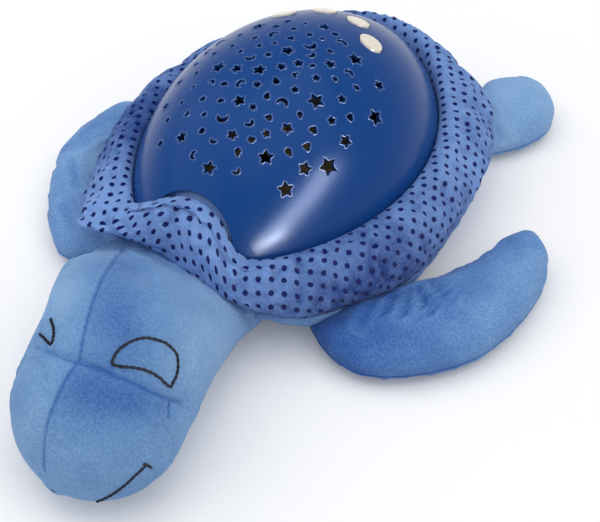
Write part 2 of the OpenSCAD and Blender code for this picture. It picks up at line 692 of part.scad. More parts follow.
// A cell points its nub along the given direction; springs press on the flat end
module battery(i) {
    body_l = cell_l - nub_l;
    color("dimgray") placed() translate([cell_dir(i) * (spring_l - 0.4) / 2, cell_y(i), cell_z])
        rotate([0, cell_dir(i) * 90, 0]) translate([0, 0, -cell_l / 2]) {
            cylinder(r = cell_d / 2, h = body_l);
            cylinder(r = nub_r, h = cell_l);
        }
}
module battery_springs() {
    turns = 3;
    per_turn = 12;
    coil_l = spring_l - 2 * spring_wire_r - 0.1;
    function coil_r(t) = 5 - 2 * t;
    color("silver") placed() for (i = [0:cell_count - 1])
        translate([-cell_dir(i) * (bay_l / 2 - plate_t - spring_wire_r), cell_y(i), cell_z])
        rotate([0, cell_dir(i) * 90, 0])
        tube([for (k = [0:turns * per_turn]) let(t = k / (turns * per_turn), a = 360 / per_turn * k)
            [coil_r(t) * cos(a), coil_r(t) * sin(a), coil_l * t]], spring_wire_r, 5);
}
module contact_plates() {
    plate_w = 10;
    color("gold") placed() for (i = [0:cell_count - 1]) for (side = [-1, 1])
        translate([side * (bay_l / 2 - plate_t / 2), cell_y(i), cell_z])
        cube([plate_t, plate_w, plate_w + 1], center = true);
}
module battery_door() {
    rib_w = 1.2;
    color([0.16, 0.31, 0.56]) placed() translate([0, bay_y, tub_z]) difference() {
        union() {
            linear_extrude(door_t) door_outline(0);
            // ribs that keep the cells in place
            for (x = [-cell_l / 4, cell_l / 4]) translate([x - rib_w / 2, 0.6 - bay_w / 2, door_t - 0.1])
                cube([rib_w, bay_w - 1.2, door_rib_h + 0.1]);
        }
        for (side = [-1, 1]) translate([0, side * door_ear_y, 0]) {
            translate([0, 0, -1]) cylinder(r = screw_hole_r, h = door_t + 2);
            translate([0, 0, -1]) cylinder(r = screw_head_r + 0.3, h = door_sink + 1);
        }
        // fingernail notches
        for (side = [-1, 1]) translate([side * (bay_l / 2 + door_edge), 0, -1])
            cylinder(r = notch_r, h = notch_depth + 1);
    }
}
module door_screws() {
    color("silver") placed() for (side = [-1, 1])
        translate([0, bay_y + side * door_ear_y, tub_z + door_sink])
        screw(screw_head_r, door_screw_h, screw_r, floor_t + door_post_h - door_sink - 2, door_screw_h);
}

// ---------------------------------------------------------------- screws and leads

// A screw whose head lies under z = sunk, with a cross recess; its shank points up
module screw(head_r, head_h, shank_r, length, sunk) {
    slot = head_r / 3;
    translate([0, 0, -sunk]) difference() {
        union() { cylinder(r = head_r, h = head_h); cylinder(r = shank_r, h = head_h + length); }
        for (a = [0, 90]) rotate(a) translate([-head_r * 0.6, -slot / 2, -1])
            cube([head_r * 1.2, slot, 1 + head_h / 2]);
    }
}
module housing_screws() {
    color("silver") placed() for (p = boss_at) translate([p[0], p[1], screw_seat_z])
        screw(screw_head_r, screw_head_h, screw_r, dome_floor - screw_seat_z + deck_t + 7, screw_head_h);
}
module board_screws() {
    length = board_t + 4;
    color("silver") placed() {
        for (side = [-1, 1]) translate([side * led_post_x, -light_y, led_board_z])
            screw(small_head_r, small_head_h, small_screw_r, length, small_head_h);
        travel_frame() for (p = board_boss_at) translate([p[0], p[1], board_h])
            screw(small_head_r, small_head_h, small_screw_r, length, small_head_h);
        for (p = main_post_at) translate([p[0], bay_y + p[1], main_board_z + board_t]) mirror([0, 0, 1])
            screw(small_head_r, small_head_h, small_screw_r, length - 0.6, small_head_h);
        for (a = ring_ears) translate([0, -speaker_y, tub_floor + speaker_flange_t + ring_t]) rotate(a)
            translate([ring_ear_x, 0, 0]) mirror([0, 0, 1])
            screw(small_head_r, small_head_h, small_screw_r, ring_t + 1.6, small_head_h);
    }
}

// Closed solid from a stack of rings with the same number of points, each ring a flat outline
module loft(rings) {
    count = len(rings[0]);
    last = len(rings) - 1;
    function at(k, j) = k * count + j % count;
    polyhedron(
        points = [for (ring = rings) for (p = ring) p],
        faces = concat(
            [[for (j = [0:count - 1]) at(0, j)]],
            [for (k = [0:last - 1]) for (j = [0:count - 1]) [at(k, j), at(k + 1, j), at(k + 1, j + 1)]],
            [for (k = [0:last - 1]) for (j = [0:count - 1]) [at(k, j), at(k + 1, j + 1), at(k, j + 1)]],
            [[for (j = [count - 1:-1:0]) at(last, j)]]));
}

function unit(v) = v / norm(v);
function heading(path, i) = unit(path[min(i + 1, len(path) - 1)] - path[max(i - 1, 0)]);
// Sideways direction of a path's ring: level, unless the path runs straight up
function across(d) = abs(d[2]) > 0.98 ? [1, 0, 0] : unit(cross([0, 0, 1], d));

module tube(path, r, sides) {
    loft([for (i = [0:len(path) - 1]) let(d = heading(path, i), s = across(d), u = cross(d, s))
        [for (j = [0:sides - 1]) let(a = 360 / sides * j) path[i] + r * cos(a) * s + r * sin(a) * u]]);
}
function bezier(p, t) = len(p) == 1 ? p[0]
    : bezier([for (i = [0:len(p) - 2]) p[i] * (1 - t) + p[i + 1] * t], t);
lead_steps = 12;
function curve(p) = [for (k = [0:lead_steps]) bezier(p, k / lead_steps)];

lead_r = 0.6;
lead_sides = 6;
lead_clear = 0.3;                       // between a lead's end and what it plugs into
function socket_top(i) = [socket_at[i][0], bay_y + socket_at[i][1],
    main_board_z + board_t + socket_size[2] + lead_clear];

module battery_leads() {
    start_x = -bay_l / 2 - box_wall - lead_r - 0.2;
    color("firebrick") placed() for (k = [0, 1]) {
        end = socket_top(0) + [-2 + 3 * k, 0, 0];
        y = bay_y + 8 * k;
        tube(curve([[start_x, y, tub_floor + 3], [start_x - 1, y, main_board_z],
            [start_x - 2, y, main_board_z + 12], end + [0, 0, 7], end]), lead_r, lead_sides);
    }
}
module speaker_leads() {
    color("black") placed() for (k = [0, 1]) {
        start = [-5 + 2 * k, -speaker_y, tub_floor + speaker_h + lead_clear];
        end = socket_top(1) + [-1.5 + 3 * k, 0, 0];
        tube(curve([start, start + [0, 0, 10], [-46 + 4 * k, -14, 28], end + [0, 0, 7], end]),
            lead_r, lead_sides);
    }
}
module led_leads() {
    color("orange") placed() for (k = [0:2]) {
        start = [-3 + 3 * k, led_board_r - light_y - 3, led_board_z - lead_clear];
        end = socket_top(2) + [-2 + 2 * k, 0, 0];
        tube(curve([start, start + [0, 4, -6], [start[0] + 2, 6, led_board_z - 2], end + [0, -2, 8], end]),
            lead_r, lead_sides);
    }
}
module button_ribbon() {
    half = ribbon_slot[0] / 2 - 2;
    thick = 0.5;
    start = [0, bay_y + ribbon_socket_y - 0.5, main_board_z + board_t + ribbon_socket_h + lead_clear];
    stop_v = board_mid_v - 2;
    stop = [0, stop_v * cos(button_tilt) + (board_h - 0.2) * sin(button_tilt),
        -stop_v * sin(button_tilt) + (board_h - 0.2) * cos(button_tilt)];
    path = curve([start, [0, start[1], start[2] + 2], [0, ribbon_y - 6, dome_floor - 4],
        [0, ribbon_y - 6, dome_floor + 10], [0, stop[1] - 6, stop[2] - 12], stop]);
    color("lightgray") placed() loft([for (i = [0:len(path) - 1]) let(d = heading(path, i),
        s = [1, 0, 0], u = cross(d, s)) [for (c = [[-1, -1], [1, -1], [1, 1], [-1, 1]])
            path[i] + half * c[0] * s + thick / 2 * c[1] * u]]);
}

// ---------------------------------------------------------------- soft body

body_mid = (body_rear - body_front) / 2;
body_half_l = (body_rear + body_front) / 2;
body_square = 2.5;                      // 2 is an ellipse, more is squarer
body_sides = 56;

function rounded(v) = sign(v) * pow(abs(v), 2 / body_square);
function body_outline(inset) = [for (j = [0:body_sides - 1]) let(a = 360 / body_sides * j)
    [(body_hw - inset) * rounded(cos(a)), body_mid + (body_half_l - inset) * rounded(sin(a))]];
function body_ring(inset, z) = [for (p = body_outline(inset)) [p[0], p[1], z]];

// Where the fabric bulges up into the doorway
hump_gap = 3;
hump_out = 5;
module doorway(inset) {
    translate([0, -dome_half_l / 2, rim_z]) rotate([90, 0, 0])
        cylinder(r = door_r - inset, h = big, $fn = 96);
}

module collar() {
    crest_h = crest_z - seam_z;
    inner_slope = crest_z - rim_z;
    color("cornflowerblue") placed() difference() {
        union() {
            loft([for (p = [[soft_gap, 4], [crest_h * 0.16, 0.8], [crest_h * 0.38, 0], [crest_h * 0.62, 1.6],
                [crest_h * 0.85, 6], [crest_h, 12]]) body_ring(p[1], seam_z + p[0])]);
            intersection() {
                egg(hump_out);
                doorway(hump_gap);
                slab(dome_floor + soft_gap, big);
            }
        }
        // the dome, clear of the fabric, except in the doorway
        difference() { egg(soft_gap); doorway(hump_gap); }
        egg(-dome_wall);
        // the valley where the fabric turns down to the dome
        hull() {
            translate([0, 0, rim_z]) linear_extrude(0.01) scaled_outline(egg_width(rim_z), egg_length(rim_z));
            translate([0, 0, crest_z + 0.1]) linear_extrude(0.01)
                scaled_outline(egg_width(rim_z) + inner_slope, egg_length(rim_z) - 0.5);
        }
        translate([0, 0, -1]) linear_extrude(dome_floor + soft_gap + 1)
            oval(flange_hw + soft_gap, flange_hl + soft_gap, dome_end_r + soft_gap);
    }
}
module scaled_outline(hw, hl) {
    polygon([for (j = [0:body_sides - 1]) let(a = 360 / body_sides * j) [hw * cos(a), hl * sin(a)]]);
}

// How far the underside's edge lies inside the collar's, which leaves a rim of fabric round the tub
underside_in = 0.6 * (tub_in_end + collar_front);
module belly() {
    color("lightskyblue") placed() difference() {
        union() {
            loft([for (p = [[0, 1], [0.08, 0.75], [0.25, 0.45], [0.5, 0.22], [0.78, 0.12], [1, 0.12]])
                body_ring(underside_in * p[1], seam_z * p[0])]);
            translate([0, 0, seam_z - 1]) linear_extrude(dome_floor - flange_t - soft_gap - seam_z + 1)
                oval(flange_hw - 3, flange_hl - 3, dome_end_r - 3);
        }
        translate([0, 0, -1]) linear_extrude(big / 4) tub_outline(-soft_gap);
    }
}

// Blunt end of a stuffed limb: 1 along most of it, falling to 0 at its tip
function blunt(t, power) = sqrt(1 - pow(t, power));
limb_steps = [0, 0.12, 0.25, 0.38, 0.5, 0.62, 0.74, 0.83, 0.9, 0.95, 0.985, 0.998];
limb_sides = 20;
lift = 0.4;                             // underside of head and flippers above the floor
limb_seat = 1.1;                        // how far a limb reaches in under the collar's edge

// Stuffed limb along a plan curve, half as wide as width(t) and as thick as height(t), on the floor
module limb(plan, widths, heights, power) {
    path = [for (t = limb_steps) bezier(plan, t)];
    loft([for (i = [0:len(path) - 1]) let(t = limb_steps[i], d = heading(path, i), s = [-d[1], d[0]],
        w = lookup(t, widths) * blunt(t, power), top = lookup(t, heights), h = top / 2 * blunt(t, power))
        [for (j = [0:limb_sides - 1]) let(a = 360 / limb_sides * j)
            [path[i][0] + w * cos(a) * s[0], path[i][1] + w * cos(a) * s[1], lift + top / 2 + h * sin(a)]]]);
}
module cut_to_body(inset) {
    difference() {
        children();
        translate([0, 0, -1]) linear_extrude(big / 4) polygon(body_outline(inset));
    }
}

module head() {
    color("cornflowerblue") placed() cut_to_body(-soft_gap)
        limb([[2, -body_front + 18], [6, -(body_front + head_reach) / 2 + 12], [head_turn, -head_reach]],
            [[0, head_hw + 2], [0.3, head_hw + 1], [0.75, head_hw - 4], [1, head_hw - 5]],
            [[0, 36], [0.25, 53], [0.5, 67], [0.75, 65], [1, 52]], 9);
}
module front_flipper(tuck) {
    reach = flipper_span - flipper_hw * 0.45 - tuck;
    cut_to_body(limb_seat)
        limb([[body_hw - 34 - tuck, -62], [reach - 10, -84], [reach, 14]],
            [[0, flipper_hw - 5], [0.3, flipper_hw + 1], [0.5, flipper_hw + 3], [0.75, flipper_hw],
                [1, flipper_hw - 5]],
            [[0, flipper_t], [0.6, flipper_t], [1, flipper_t - 7]], 6);
}
module rear_flipper(turn) {
    cut_to_body(limb_seat)
        limb([[body_hw - 34, 66], [body_hw - 18 - turn / 2, 96],
            [body_hw - 12 - turn, rear_reach - turn / 10]],
            [[0, rear_hw - 8], [0.6, rear_hw], [1, rear_hw - 2]],
            [[0, flipper_t - 2], [0.6, flipper_t - 2], [1, flipper_t - 8]], 6);
}
module flipper_front_left() { color("cornflowerblue") placed() front_flipper(0); }
module flipper_front_right() { color("cornflowerblue") placed() mirror([1, 0, 0]) front_flipper(front_tuck); }
module flipper_rear_left() { color("cornflowerblue") placed() rear_flipper(0); }
module flipper_rear_right() { color("cornflowerblue") placed() mirror([1, 0, 0]) rear_flipper(rear_turn); }
module tail() {
    tail_l = 24;
    color("cornflowerblue") placed() cut_to_body(limb_seat)
        limb([[0, body_rear - 12], [0, body_rear + tail_l / 2], [0, body_rear + tail_l]],
            [[0, 13], [1, 7]], [[0, 18], [1, 11]], 4);
}

star_dome();
base_tub();
light_deck();
led_board();
led(0, "red");  // led_red
led(120, "green");  // led_green
led(240, "blue");  // led_blue
main_board();
sound_chip();
capacitors();
wire_sockets();
button_board();
tact_switches();
plunger(0);  // plunger_outer_right
plunger(1);  // plunger_inner_right
plunger(2);  // plunger_inner_left
plunger(3);  // plunger_outer_left
cap(0);  // button_outer_right
cap(1);  // button_inner_right
cap(2);  // button_inner_left
cap(3);  // button_outer_left
speaker_frame();
speaker_cone();
speaker_magnet();
speaker_ring();
battery_box();
battery(0);  // battery_1
battery(1);  // battery_2
battery(2);  // battery_3
battery_springs();
contact_plates();
battery_door();
door_screws();
housing_screws();
board_screws();
battery_leads();
speaker_leads();
led_leads();
button_ribbon();
collar();
belly();
head();
flipper_front_left();
flipper_front_right();
flipper_rear_left();
flipper_rear_right();
tail();
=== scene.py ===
import math

import bmesh
import bpy
import numpy as np
from mathutils import Matrix, Vector, noise
from mathutils.bvhtree import BVHTree


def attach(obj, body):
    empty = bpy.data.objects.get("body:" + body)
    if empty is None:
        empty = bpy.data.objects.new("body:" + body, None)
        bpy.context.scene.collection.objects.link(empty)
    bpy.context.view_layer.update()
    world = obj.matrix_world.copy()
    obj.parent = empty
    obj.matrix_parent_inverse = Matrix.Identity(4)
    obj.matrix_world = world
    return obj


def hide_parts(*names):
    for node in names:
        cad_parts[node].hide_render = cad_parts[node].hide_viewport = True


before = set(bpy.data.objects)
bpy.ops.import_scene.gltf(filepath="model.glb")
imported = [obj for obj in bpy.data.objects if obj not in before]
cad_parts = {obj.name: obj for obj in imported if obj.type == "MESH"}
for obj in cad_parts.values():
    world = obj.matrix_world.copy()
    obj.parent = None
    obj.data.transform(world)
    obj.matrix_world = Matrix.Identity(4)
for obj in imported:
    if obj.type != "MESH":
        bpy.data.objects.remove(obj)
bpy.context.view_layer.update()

# All shapes are worked out in millimetres about the dome's middle and written in metres.
DX, DY = -10.0, 39.5  # where the dome's middle lies in the frame
RIM = 43.0            # height of the dome's visible edge
AXIS = 26.2           # height of the dome's long axis
REST = 0.4            # height at which the cloth rests above the floor
# Half width, half length and radius of the ends, of the dome and of the tub
DOME_R, DOME_L, DOME_E = 73.4, 103.3, 54.1
TUB_R, TUB_L, TUB_E = 60.0, 89.3, 42.0


def metres(p):
    return (np.asarray(p, float) + np.array([DX, DY, 0.0])) / 1000.0


def millimetres(co):
    return co * 1000.0 - np.array([DX, DY, 0.0])


def new_object(name, data):
    ob = bpy.data.objects.new(name, data)
    bpy.context.scene.collection.objects.link(ob)
    return ob


# ------------------------------------------------------------------ camera
CAM_AZ, CAM_EL = math.radians(30.56), math.radians(43.78)
FOCAL_PX, DIST = 1389.0, 720.0
IMAGE_W, IMAGE_H, SENSOR = 600.0, 522.0, 36.0
MID_X, MID_Y = IMAGE_W / 2, IMAGE_H / 2
AIM_RIGHT, AIM_UP = 5.3, -63.6  # what the camera looks at, from the middle of the dome's edge
BACK = np.array([math.sin(CAM_AZ) * math.cos(CAM_EL), -math.cos(CAM_AZ) * math.cos(CAM_EL),
                 math.sin(CAM_EL)])
RIGHT = np.array([math.cos(CAM_AZ), math.sin(CAM_AZ), 0.0])
UP = np.cross(BACK, RIGHT)
EYE = np.array([0.0, 0.0, RIM]) + AIM_RIGHT * RIGHT + AIM_UP * UP + DIST * BACK

cam_data = bpy.data.cameras.new("camera")
cam_data.sensor_fit = "HORIZONTAL"
cam_data.sensor_width = SENSOR
cam_data.lens = FOCAL_PX * SENSOR / IMAGE_W
cam_data.clip_end = 20.0
cam = new_object("camera", cam_data)
turn = Matrix(((RIGHT[0], UP[0], BACK[0]), (RIGHT[1], UP[1], BACK[1]), (RIGHT[2], UP[2], BACK[2])))
cam.matrix_world = Matrix.Translation(Vector(metres(EYE))) @ turn.to_4x4()
bpy.context.scene.camera = cam


def ray(px, py):
    """Direction of the camera's ray through a pixel of the image."""
    d = (px - MID_X) / FOCAL_PX * RIGHT - (py - MID_Y) / FOCAL_PX * UP - BACK
    return d / np.linalg.norm(d)


def pixels_of(P):
    """Where the camera sees points in mm, as the pixel's x and y."""
    rel = P - EYE
    depth = -(rel @ BACK)
    return MID_X + FOCAL_PX * (rel @ RIGHT) / depth, MID_Y - FOCAL_PX * (rel @ UP) / depth


# ------------------------------------------------------------------ numbers
def lerp(a, b, t):
    return a + (b - a) * t


def smooth(a, b, x):
    t = np.clip((np.asarray(x, float) - a) / (b - a), 0.0, 1.0)
    return t * t * (3.0 - 2.0 * t)


def spline(knots, values, x):
    """Smooth curve through the values at rising knots, for numbers or points."""
    knots, values, x = np.asarray(knots, float), np.asarray(values, float), np.asarray(x, float)
    flat = values.ndim == 1
    if flat:
        values = values[:, None]
    n = len(knots)
    slope = np.zeros_like(values)
    for i in range(n):
        lo, hi = max(i - 1, 0), min(i + 1, n - 1)
        slope[i] = (values[hi] - values[lo]) / (knots[hi] - knots[lo])
    i = np.clip(np.searchsorted(knots, x, side="right") - 1, 0, n - 2)
    h = knots[i + 1] - knots[i]
    t = ((np.clip(x, knots[0], knots[-1]) - knots[i]) / h)[..., None]
    h = h[..., None]
    out = ((2 * t**3 - 3 * t**2 + 1) * values[i] + (t**3 - 2 * t**2 + t) * h * slope[i]
           + (-2 * t**3 + 3 * t**2) * values[i + 1] + (t**3 - t**2) * h * slope[i + 1])
    return out[..., 0] if flat else out


def around(table, deg):
    """Value of a table of [degrees, value] round the full circle."""
    t = np.asarray(table, float)
    knots = np.concatenate([t[-3:, 0] - 360.0, t[:, 0], t[:3, 0] + 360.0])
    return spline(knots, np.concatenate([t[-3:, 1], t[:, 1], t[:3, 1]]), deg)


def lengths(path, axis=1):
    """Length run along a path up to each of its points."""
    steps = np.linalg.norm(np.diff(path, axis=0), axis=axis)
    return np.concatenate([np.zeros((1,) + steps.shape[1:]), np.cumsum(steps, axis=0)])


def bumps(points, size, seed=0.0):
    """Smooth noise between about -1 and 1 at points in mm, with features of the given size."""
    off = Vector((seed * 17.3, seed * 5.1, seed * 9.7))
    flat = points.reshape(-1, 3)
    vals = [noise.noise(Vector(p / size) + off) for p in flat]
    return np.array(vals).reshape(points.shape[:-1])


# ------------------------------------------------------------------ meshes
def normals_of(P):
    """Normals of a grid of points whose columns close on themselves."""
    n = np.cross(np.gradient(P, axis=0), (np.roll(P, -1, axis=1) - np.roll(P, 1, axis=1)) / 2.0)
    return n / np.maximum(np.linalg.norm(n, axis=-1, keepdims=True), 1e-9)


def grid_object(name, P, material, uv=None, cap=(False, False), flip=False):
    """Mesh from a grid of points in mm whose columns close on themselves. Its ends are capped or open."""
    R, C = P.shape[:2]
    faces, corner_uv = [], []
    for i in range(R - 1):
        for j in range(C):
            quad = [(i, j), (i + 1, j), (i + 1, (j + 1) % C), (i, (j + 1) % C)]
            span = [(i, j), (i + 1, j), (i + 1, j + 1), (i, j + 1)]
            if flip:
                quad, span = quad[::-1], span[::-1]
            faces.append([a * C + b for a, b in quad])
            corner_uv.append(span)
    for last, end in enumerate(cap):
        if end:
            row = (R - 1) * last
            loop = [(row, j) for j in range(C)]
            if bool(last) == flip:
                loop = loop[::-1]
            faces.append([a * C + b for a, b in loop])
            corner_uv.append(loop)
    me = bpy.data.meshes.new(name)
    me.from_pydata([tuple(v) for v in metres(P.reshape(-1, 3))], [], faces)
    if uv is not None:
        layer = me.uv_layers.new(name="cloth")
        data = [uv[a, b] for span in corner_uv for a, b in span]
        layer.data.foreach_set("uv", np.array(data, dtype=np.float32).ravel())
    me.polygons.foreach_set("use_smooth", [True] * len(me.polygons))
    me.update()
    me.materials.append(material)
    return new_object(name, me)


def paint(ob, name, values):
    """Stores one number per vertex under a name that a material can read."""
    at = ob.data.attributes.new(name, "FLOAT", "POINT")
    at.data.foreach_set("value", np.asarray(values, dtype=np.float32).ravel())


def tree_of(Q):
    R, C = Q.shape[:2]
    faces = [(i * C + j, (i + 1) * C + j, (i + 1) * C + (j + 1) % C, i * C + (j + 1) % C)
             for i in range(R - 1) for j in range(C)]
    return BVHTree.FromPolygons([Vector(p) for p in Q.reshape(-1, 3)], faces)


def hits(pixels, tree):
    """Places where camera rays through these pixels meet a surface."""
    found = [tree.ray_cast(Vector(EYE), Vector(ray(px, py)))[0] for px, py in pixels]
    return [np.array(p) for p in found if p is not None]


def densify(path, step):
    """The same path as a smooth curve, with points at about this spacing in mm."""
    path = np.asarray(path, float)
    s = lengths(path)
    return spline(s, path, np.linspace(0, s[-1], max(int(s[-1] / step), 2) + 1))


def distance_to(Q, path):
    """Distance in mm from every grid point to a polyline in space."""
    best = np.full(Q.shape[:2], 1e9)
    for a, b in zip(path[:-1], path[1:]):
        ab = b - a
        t = np.clip(((Q - a) @ ab) / max(float(ab @ ab), 1e-9), 0, 1)
        best = np.minimum(best, np.linalg.norm(Q - (a + t[..., None] * ab), axis=-1))
    return best


def finer(D, rows, shape):
    """Moves known on some rows and on every so many columns, spread over the whole grid."""
    R, C = shape[:2]
    n = D.shape[1]
    D = spline(rows, D.reshape(len(rows), -1), np.arange(R)).reshape(R, n, 3)
    D = np.concatenate([D[:, -2:], D, D[:, :3]], axis=1).transpose(1, 0, 2).reshape(n + 5, -1)
    return spline(np.arange(-2, n + 3), D, np.arange(C) * n / C).reshape(C, R, 3).transpose(1, 0, 2)


CLOTH_FRAMES = 20
CLOTH_STEP = 2  # the simulation takes every second row and column


def stuffed(name, P, pin, grow, pressure, cap_mm, cap=(True, True), flip=False):
    """Cloth simulation of a stuffed cover. P is its grid of points, pin is 1 where seams or
    neighbours hold it. The cloth is cut larger than its pinned seams by grow, and filled from
    inside. Returns P with its moves, which stay below cap_mm."""
    rows = np.unique(np.concatenate([np.arange(0, P.shape[0], CLOTH_STEP), [P.shape[0] - 1]]))
    cols = np.arange(0, P.shape[1], CLOTH_STEP)
    Q = P[np.ix_(rows, cols)]
    ob = grid_object(name + "_sim", Q, M["velvet"], None, cap, flip)
    group = ob.vertex_groups.new(name="pin")
    weights = pin[np.ix_(rows, cols)].ravel()
    for w in np.unique(np.round(weights, 2)):
        if w > 0:
            group.add([int(i) for i in np.nonzero(np.round(weights, 2) == w)[0]], float(w), "REPLACE")
    mod = ob.modifiers.new("cloth", "CLOTH")
    s = mod.settings
    s.quality = 4
    s.mass = 0.15
    s.tension_stiffness = s.compression_stiffness = 12.0
    s.shear_stiffness = 4.0
    s.bending_stiffness = 0.35
    s.tension_damping = s.compression_damping = s.shear_damping = 6.0
    s.air_damping = 2.0
    s.use_pressure = True
    s.uniform_pressure_force = pressure
    s.vertex_group_mass = "pin"
    s.pin_stiffness = 20.0
    s.shrink_min = -grow
    s.effector_weights.gravity = 0.0
    mod.collision_settings.use_collision = False
    mod.point_cache.frame_start, mod.point_cache.frame_end = 1, CLOTH_FRAMES
    scene = bpy.context.scene
    for f in range(1, CLOTH_FRAMES + 1):
        scene.frame_set(f)
    moved = ob.evaluated_get(bpy.context.evaluated_depsgraph_get()).data
    co = np.zeros(len(moved.vertices) * 3)
    moved.vertices.foreach_get("co", co)
    D = millimetres(co.reshape(Q.shape)) - Q
    scene.frame_set(1)
    bpy.data.objects.remove(ob, do_unlink=True)
    size = np.linalg.norm(D, axis=-1, keepdims=True)
    D *= np.tanh(size / cap_mm) * cap_mm / np.maximum(size, 1e-9)
    kept = np.linalg.norm(D, axis=-1)
    print(name, "cloth moved by up to %.2f mm, kept %.2f" % (size.max(), kept.max()))
    return P + finer(D, rows, P.shape)


# ------------------------------------------------------------------ materials
def srgb(r, g, b):
    def one(c):
        c /= 255.0
        return c / 12.92 if c <= 0.04045 else ((c + 0.055) / 1.055) ** 2.4
    return (one(r), one(g), one(b), 1.0)


class Nodes:
    """Short way to write a node material."""

    def __init__(self, name, tree=None):
        if tree is None:
            self.m = bpy.data.materials.new(name)
            self.m.use_nodes = True
            tree = self.m.node_tree
        self.t = tree
        self.p = tree.nodes.get("Principled BSDF")

    def fill(self, socket, value):
        if isinstance(value, bpy.types.NodeSocket):
            self.t.links.new(value, socket)
        else:
            socket.default_value = value

    def add(self, kind, ins=None, **props):
        n = self.t.nodes.new(kind)
        for k, v in props.items():
            setattr(n, k, v)
        for k, v in (ins or {}).items():
            self.fill(n.inputs[k], v)
        return n

    def put(self, **sockets):
        for k, v in sockets.items():
            self.fill(self.p.inputs[k.replace("_", " ")], v)
        return self.m

    def math(self, op, a, b=0.0):
        return self.add("ShaderNodeMath", {0: a, 1: b}, operation=op).outputs[0]

    def vec(self, op, a, b=(0.0, 0.0, 0.0)):
        n = self.add("ShaderNodeVectorMath", {0: a, 1: b}, operation=op)
        return n.outputs["Value" if op in ("LENGTH", "DOT_PRODUCT") else "Vector"]

    def mix(self, fac, a, b):
        return self.add("ShaderNodeMix", {0: fac, 6: a, 7: b}, data_type="RGBA").outputs[2]

    def coords(self):
        return self.add("ShaderNodeTexCoord").outputs["Object"]

    def noise(self, scale, detail=2.0, rough=0.5, out="Fac"):
        ins = {"Scale": scale, "Detail": detail, "Roughness": rough, "Vector": self.coords()}
        return self.add("ShaderNodeTexNoise", ins).outputs[out]

    def ramp(self, value, low, high):
        """Value mapped so that low gives 0 and high gives 1, clamped."""
        ins = {"Value": value, "From Min": low, "From Max": high}
        return self.add("ShaderNodeMapRange", ins).outputs["Result"]

    def nap_and_shade(self):
        """What is painted on a piece: above 0 where it is darker, below 0 where paler. It holds the pile's
        nap together with painted shade in creases and seams, and painted shade and light on some sides.
        """
        return self.add("ShaderNodeAttribute", attribute_name="nap_and_shade").outputs["Fac"]

    def bump(self, height, strength, distance, normal=None):
        ins = {"Height": height, "Strength": strength, "Distance": distance}
        if normal is not None:
            ins["Normal"] = normal
        return self.add("ShaderNodeBump", ins).outputs["Normal"]


SHEEN = (0.72, 0.84, 1.0, 1.0)
DOT_PITCH, DOT_R = 0.00635, 0.00136
DOT_TURN = math.radians(28.0)


def velvet(name, deep, base, pale, patch=26.0):
    """Short-pile velvet: brushed light and dark patches, a fibre speckle and a soft pale sheen."""
    k = Nodes(name)
    fine, fibre = k.noise(900.0, 2.0, 0.65), k.noise(2100.0, 1.0, 0.5)
    level = k.math("MULTIPLY", k.ramp(k.noise(patch, 3.0, 0.55), 0.3, 0.7), 0.46)
    level = k.math("ADD", level, k.math("MULTIPLY", k.ramp(fine, 0.28, 0.72), 0.4))
    level = k.math("ADD", level, 0.09)
    # Darker or paler where the piece is painted so: its nap, and painted shade and light
    level = k.math("SUBTRACT", level, k.nap_and_shade())
    color = k.mix(k.ramp(level, 0.5, 1.0), k.mix(k.ramp(level, 0.0, 0.5), deep, base), pale)
    height = k.math("ADD", k.math("MULTIPLY", fine, 0.6), k.math("MULTIPLY", fibre, 0.4))
    return k.put(Base_Color=color, Normal=k.bump(height, 0.6, 0.0008), Roughness=0.85, Sheen_Weight=0.24,
                 Sheen_Roughness=0.4, Sheen_Tint=SHEEN, Specular_IOR_Level=0.1)


def dotted(name):
    """Velvet of the collar, printed with round navy dots on a square grid."""
    k = Nodes(name)
    uv = k.add("ShaderNodeUVMap", uv_map="cloth").outputs["UV"]
    drift = k.vec("SUBTRACT", k.noise(40.0, 1.0, 0.5, "Color"), (0.5, 0.5, 0.5))
    place = k.vec("ADD", uv, k.vec("MULTIPLY", drift, (0.0016, 0.0016, 0.0)))
    cell = k.vec("FRACTION", k.vec("DIVIDE", place, (DOT_PITCH, DOT_PITCH, 1.0)))
    off = k.vec("MULTIPLY", k.vec("SUBTRACT", cell, (0.5, 0.5, 0.0)), (DOT_PITCH, DOT_PITCH, 0.0))
    ragged = k.math("MULTIPLY", k.math("SUBTRACT", k.noise(1100.0, 1.0), 0.5), 0.0007)
    near = k.math("ADD", k.vec("LENGTH", off), ragged)
    dot = k.math("SUBTRACT", 1.0, k.ramp(near, DOT_R - 0.00018, DOT_R + 0.00022))
    fine = k.noise(700.0, 2.0, 0.6)
    level = k.math("MULTIPLY", k.ramp(k.noise(30.0, 3.0, 0.55), 0.32, 0.68), 0.55)
    level = k.math("ADD", level, k.math("MULTIPLY", k.ramp(k.noise(105.0, 3.0, 0.6), 0.36, 0.64), 0.35))
    level = k.math("ADD", level, k.math("MULTIPLY", k.ramp(fine, 0.3, 0.7), 0.3))
    # Darker or paler where the collar is painted so: its nap, and painted shade and light
    level = k.math("SUBTRACT", level, k.nap_and_shade())
    cloth = k.mix(k.ramp(level, -0.3, 1.15), srgb(28, 58, 124), srgb(116, 150, 208))
    height = k.math("SUBTRACT", fine, k.math("MULTIPLY", dot, 0.35))
    return k.put(Base_Color=k.mix(dot, cloth, srgb(4, 22, 88)), Normal=k.bump(height, 0.6, 0.0007),
                 Roughness=0.85, Sheen_Weight=0.1, Sheen_Roughness=0.4, Sheen_Tint=SHEEN,
                 Specular_IOR_Level=0.1)


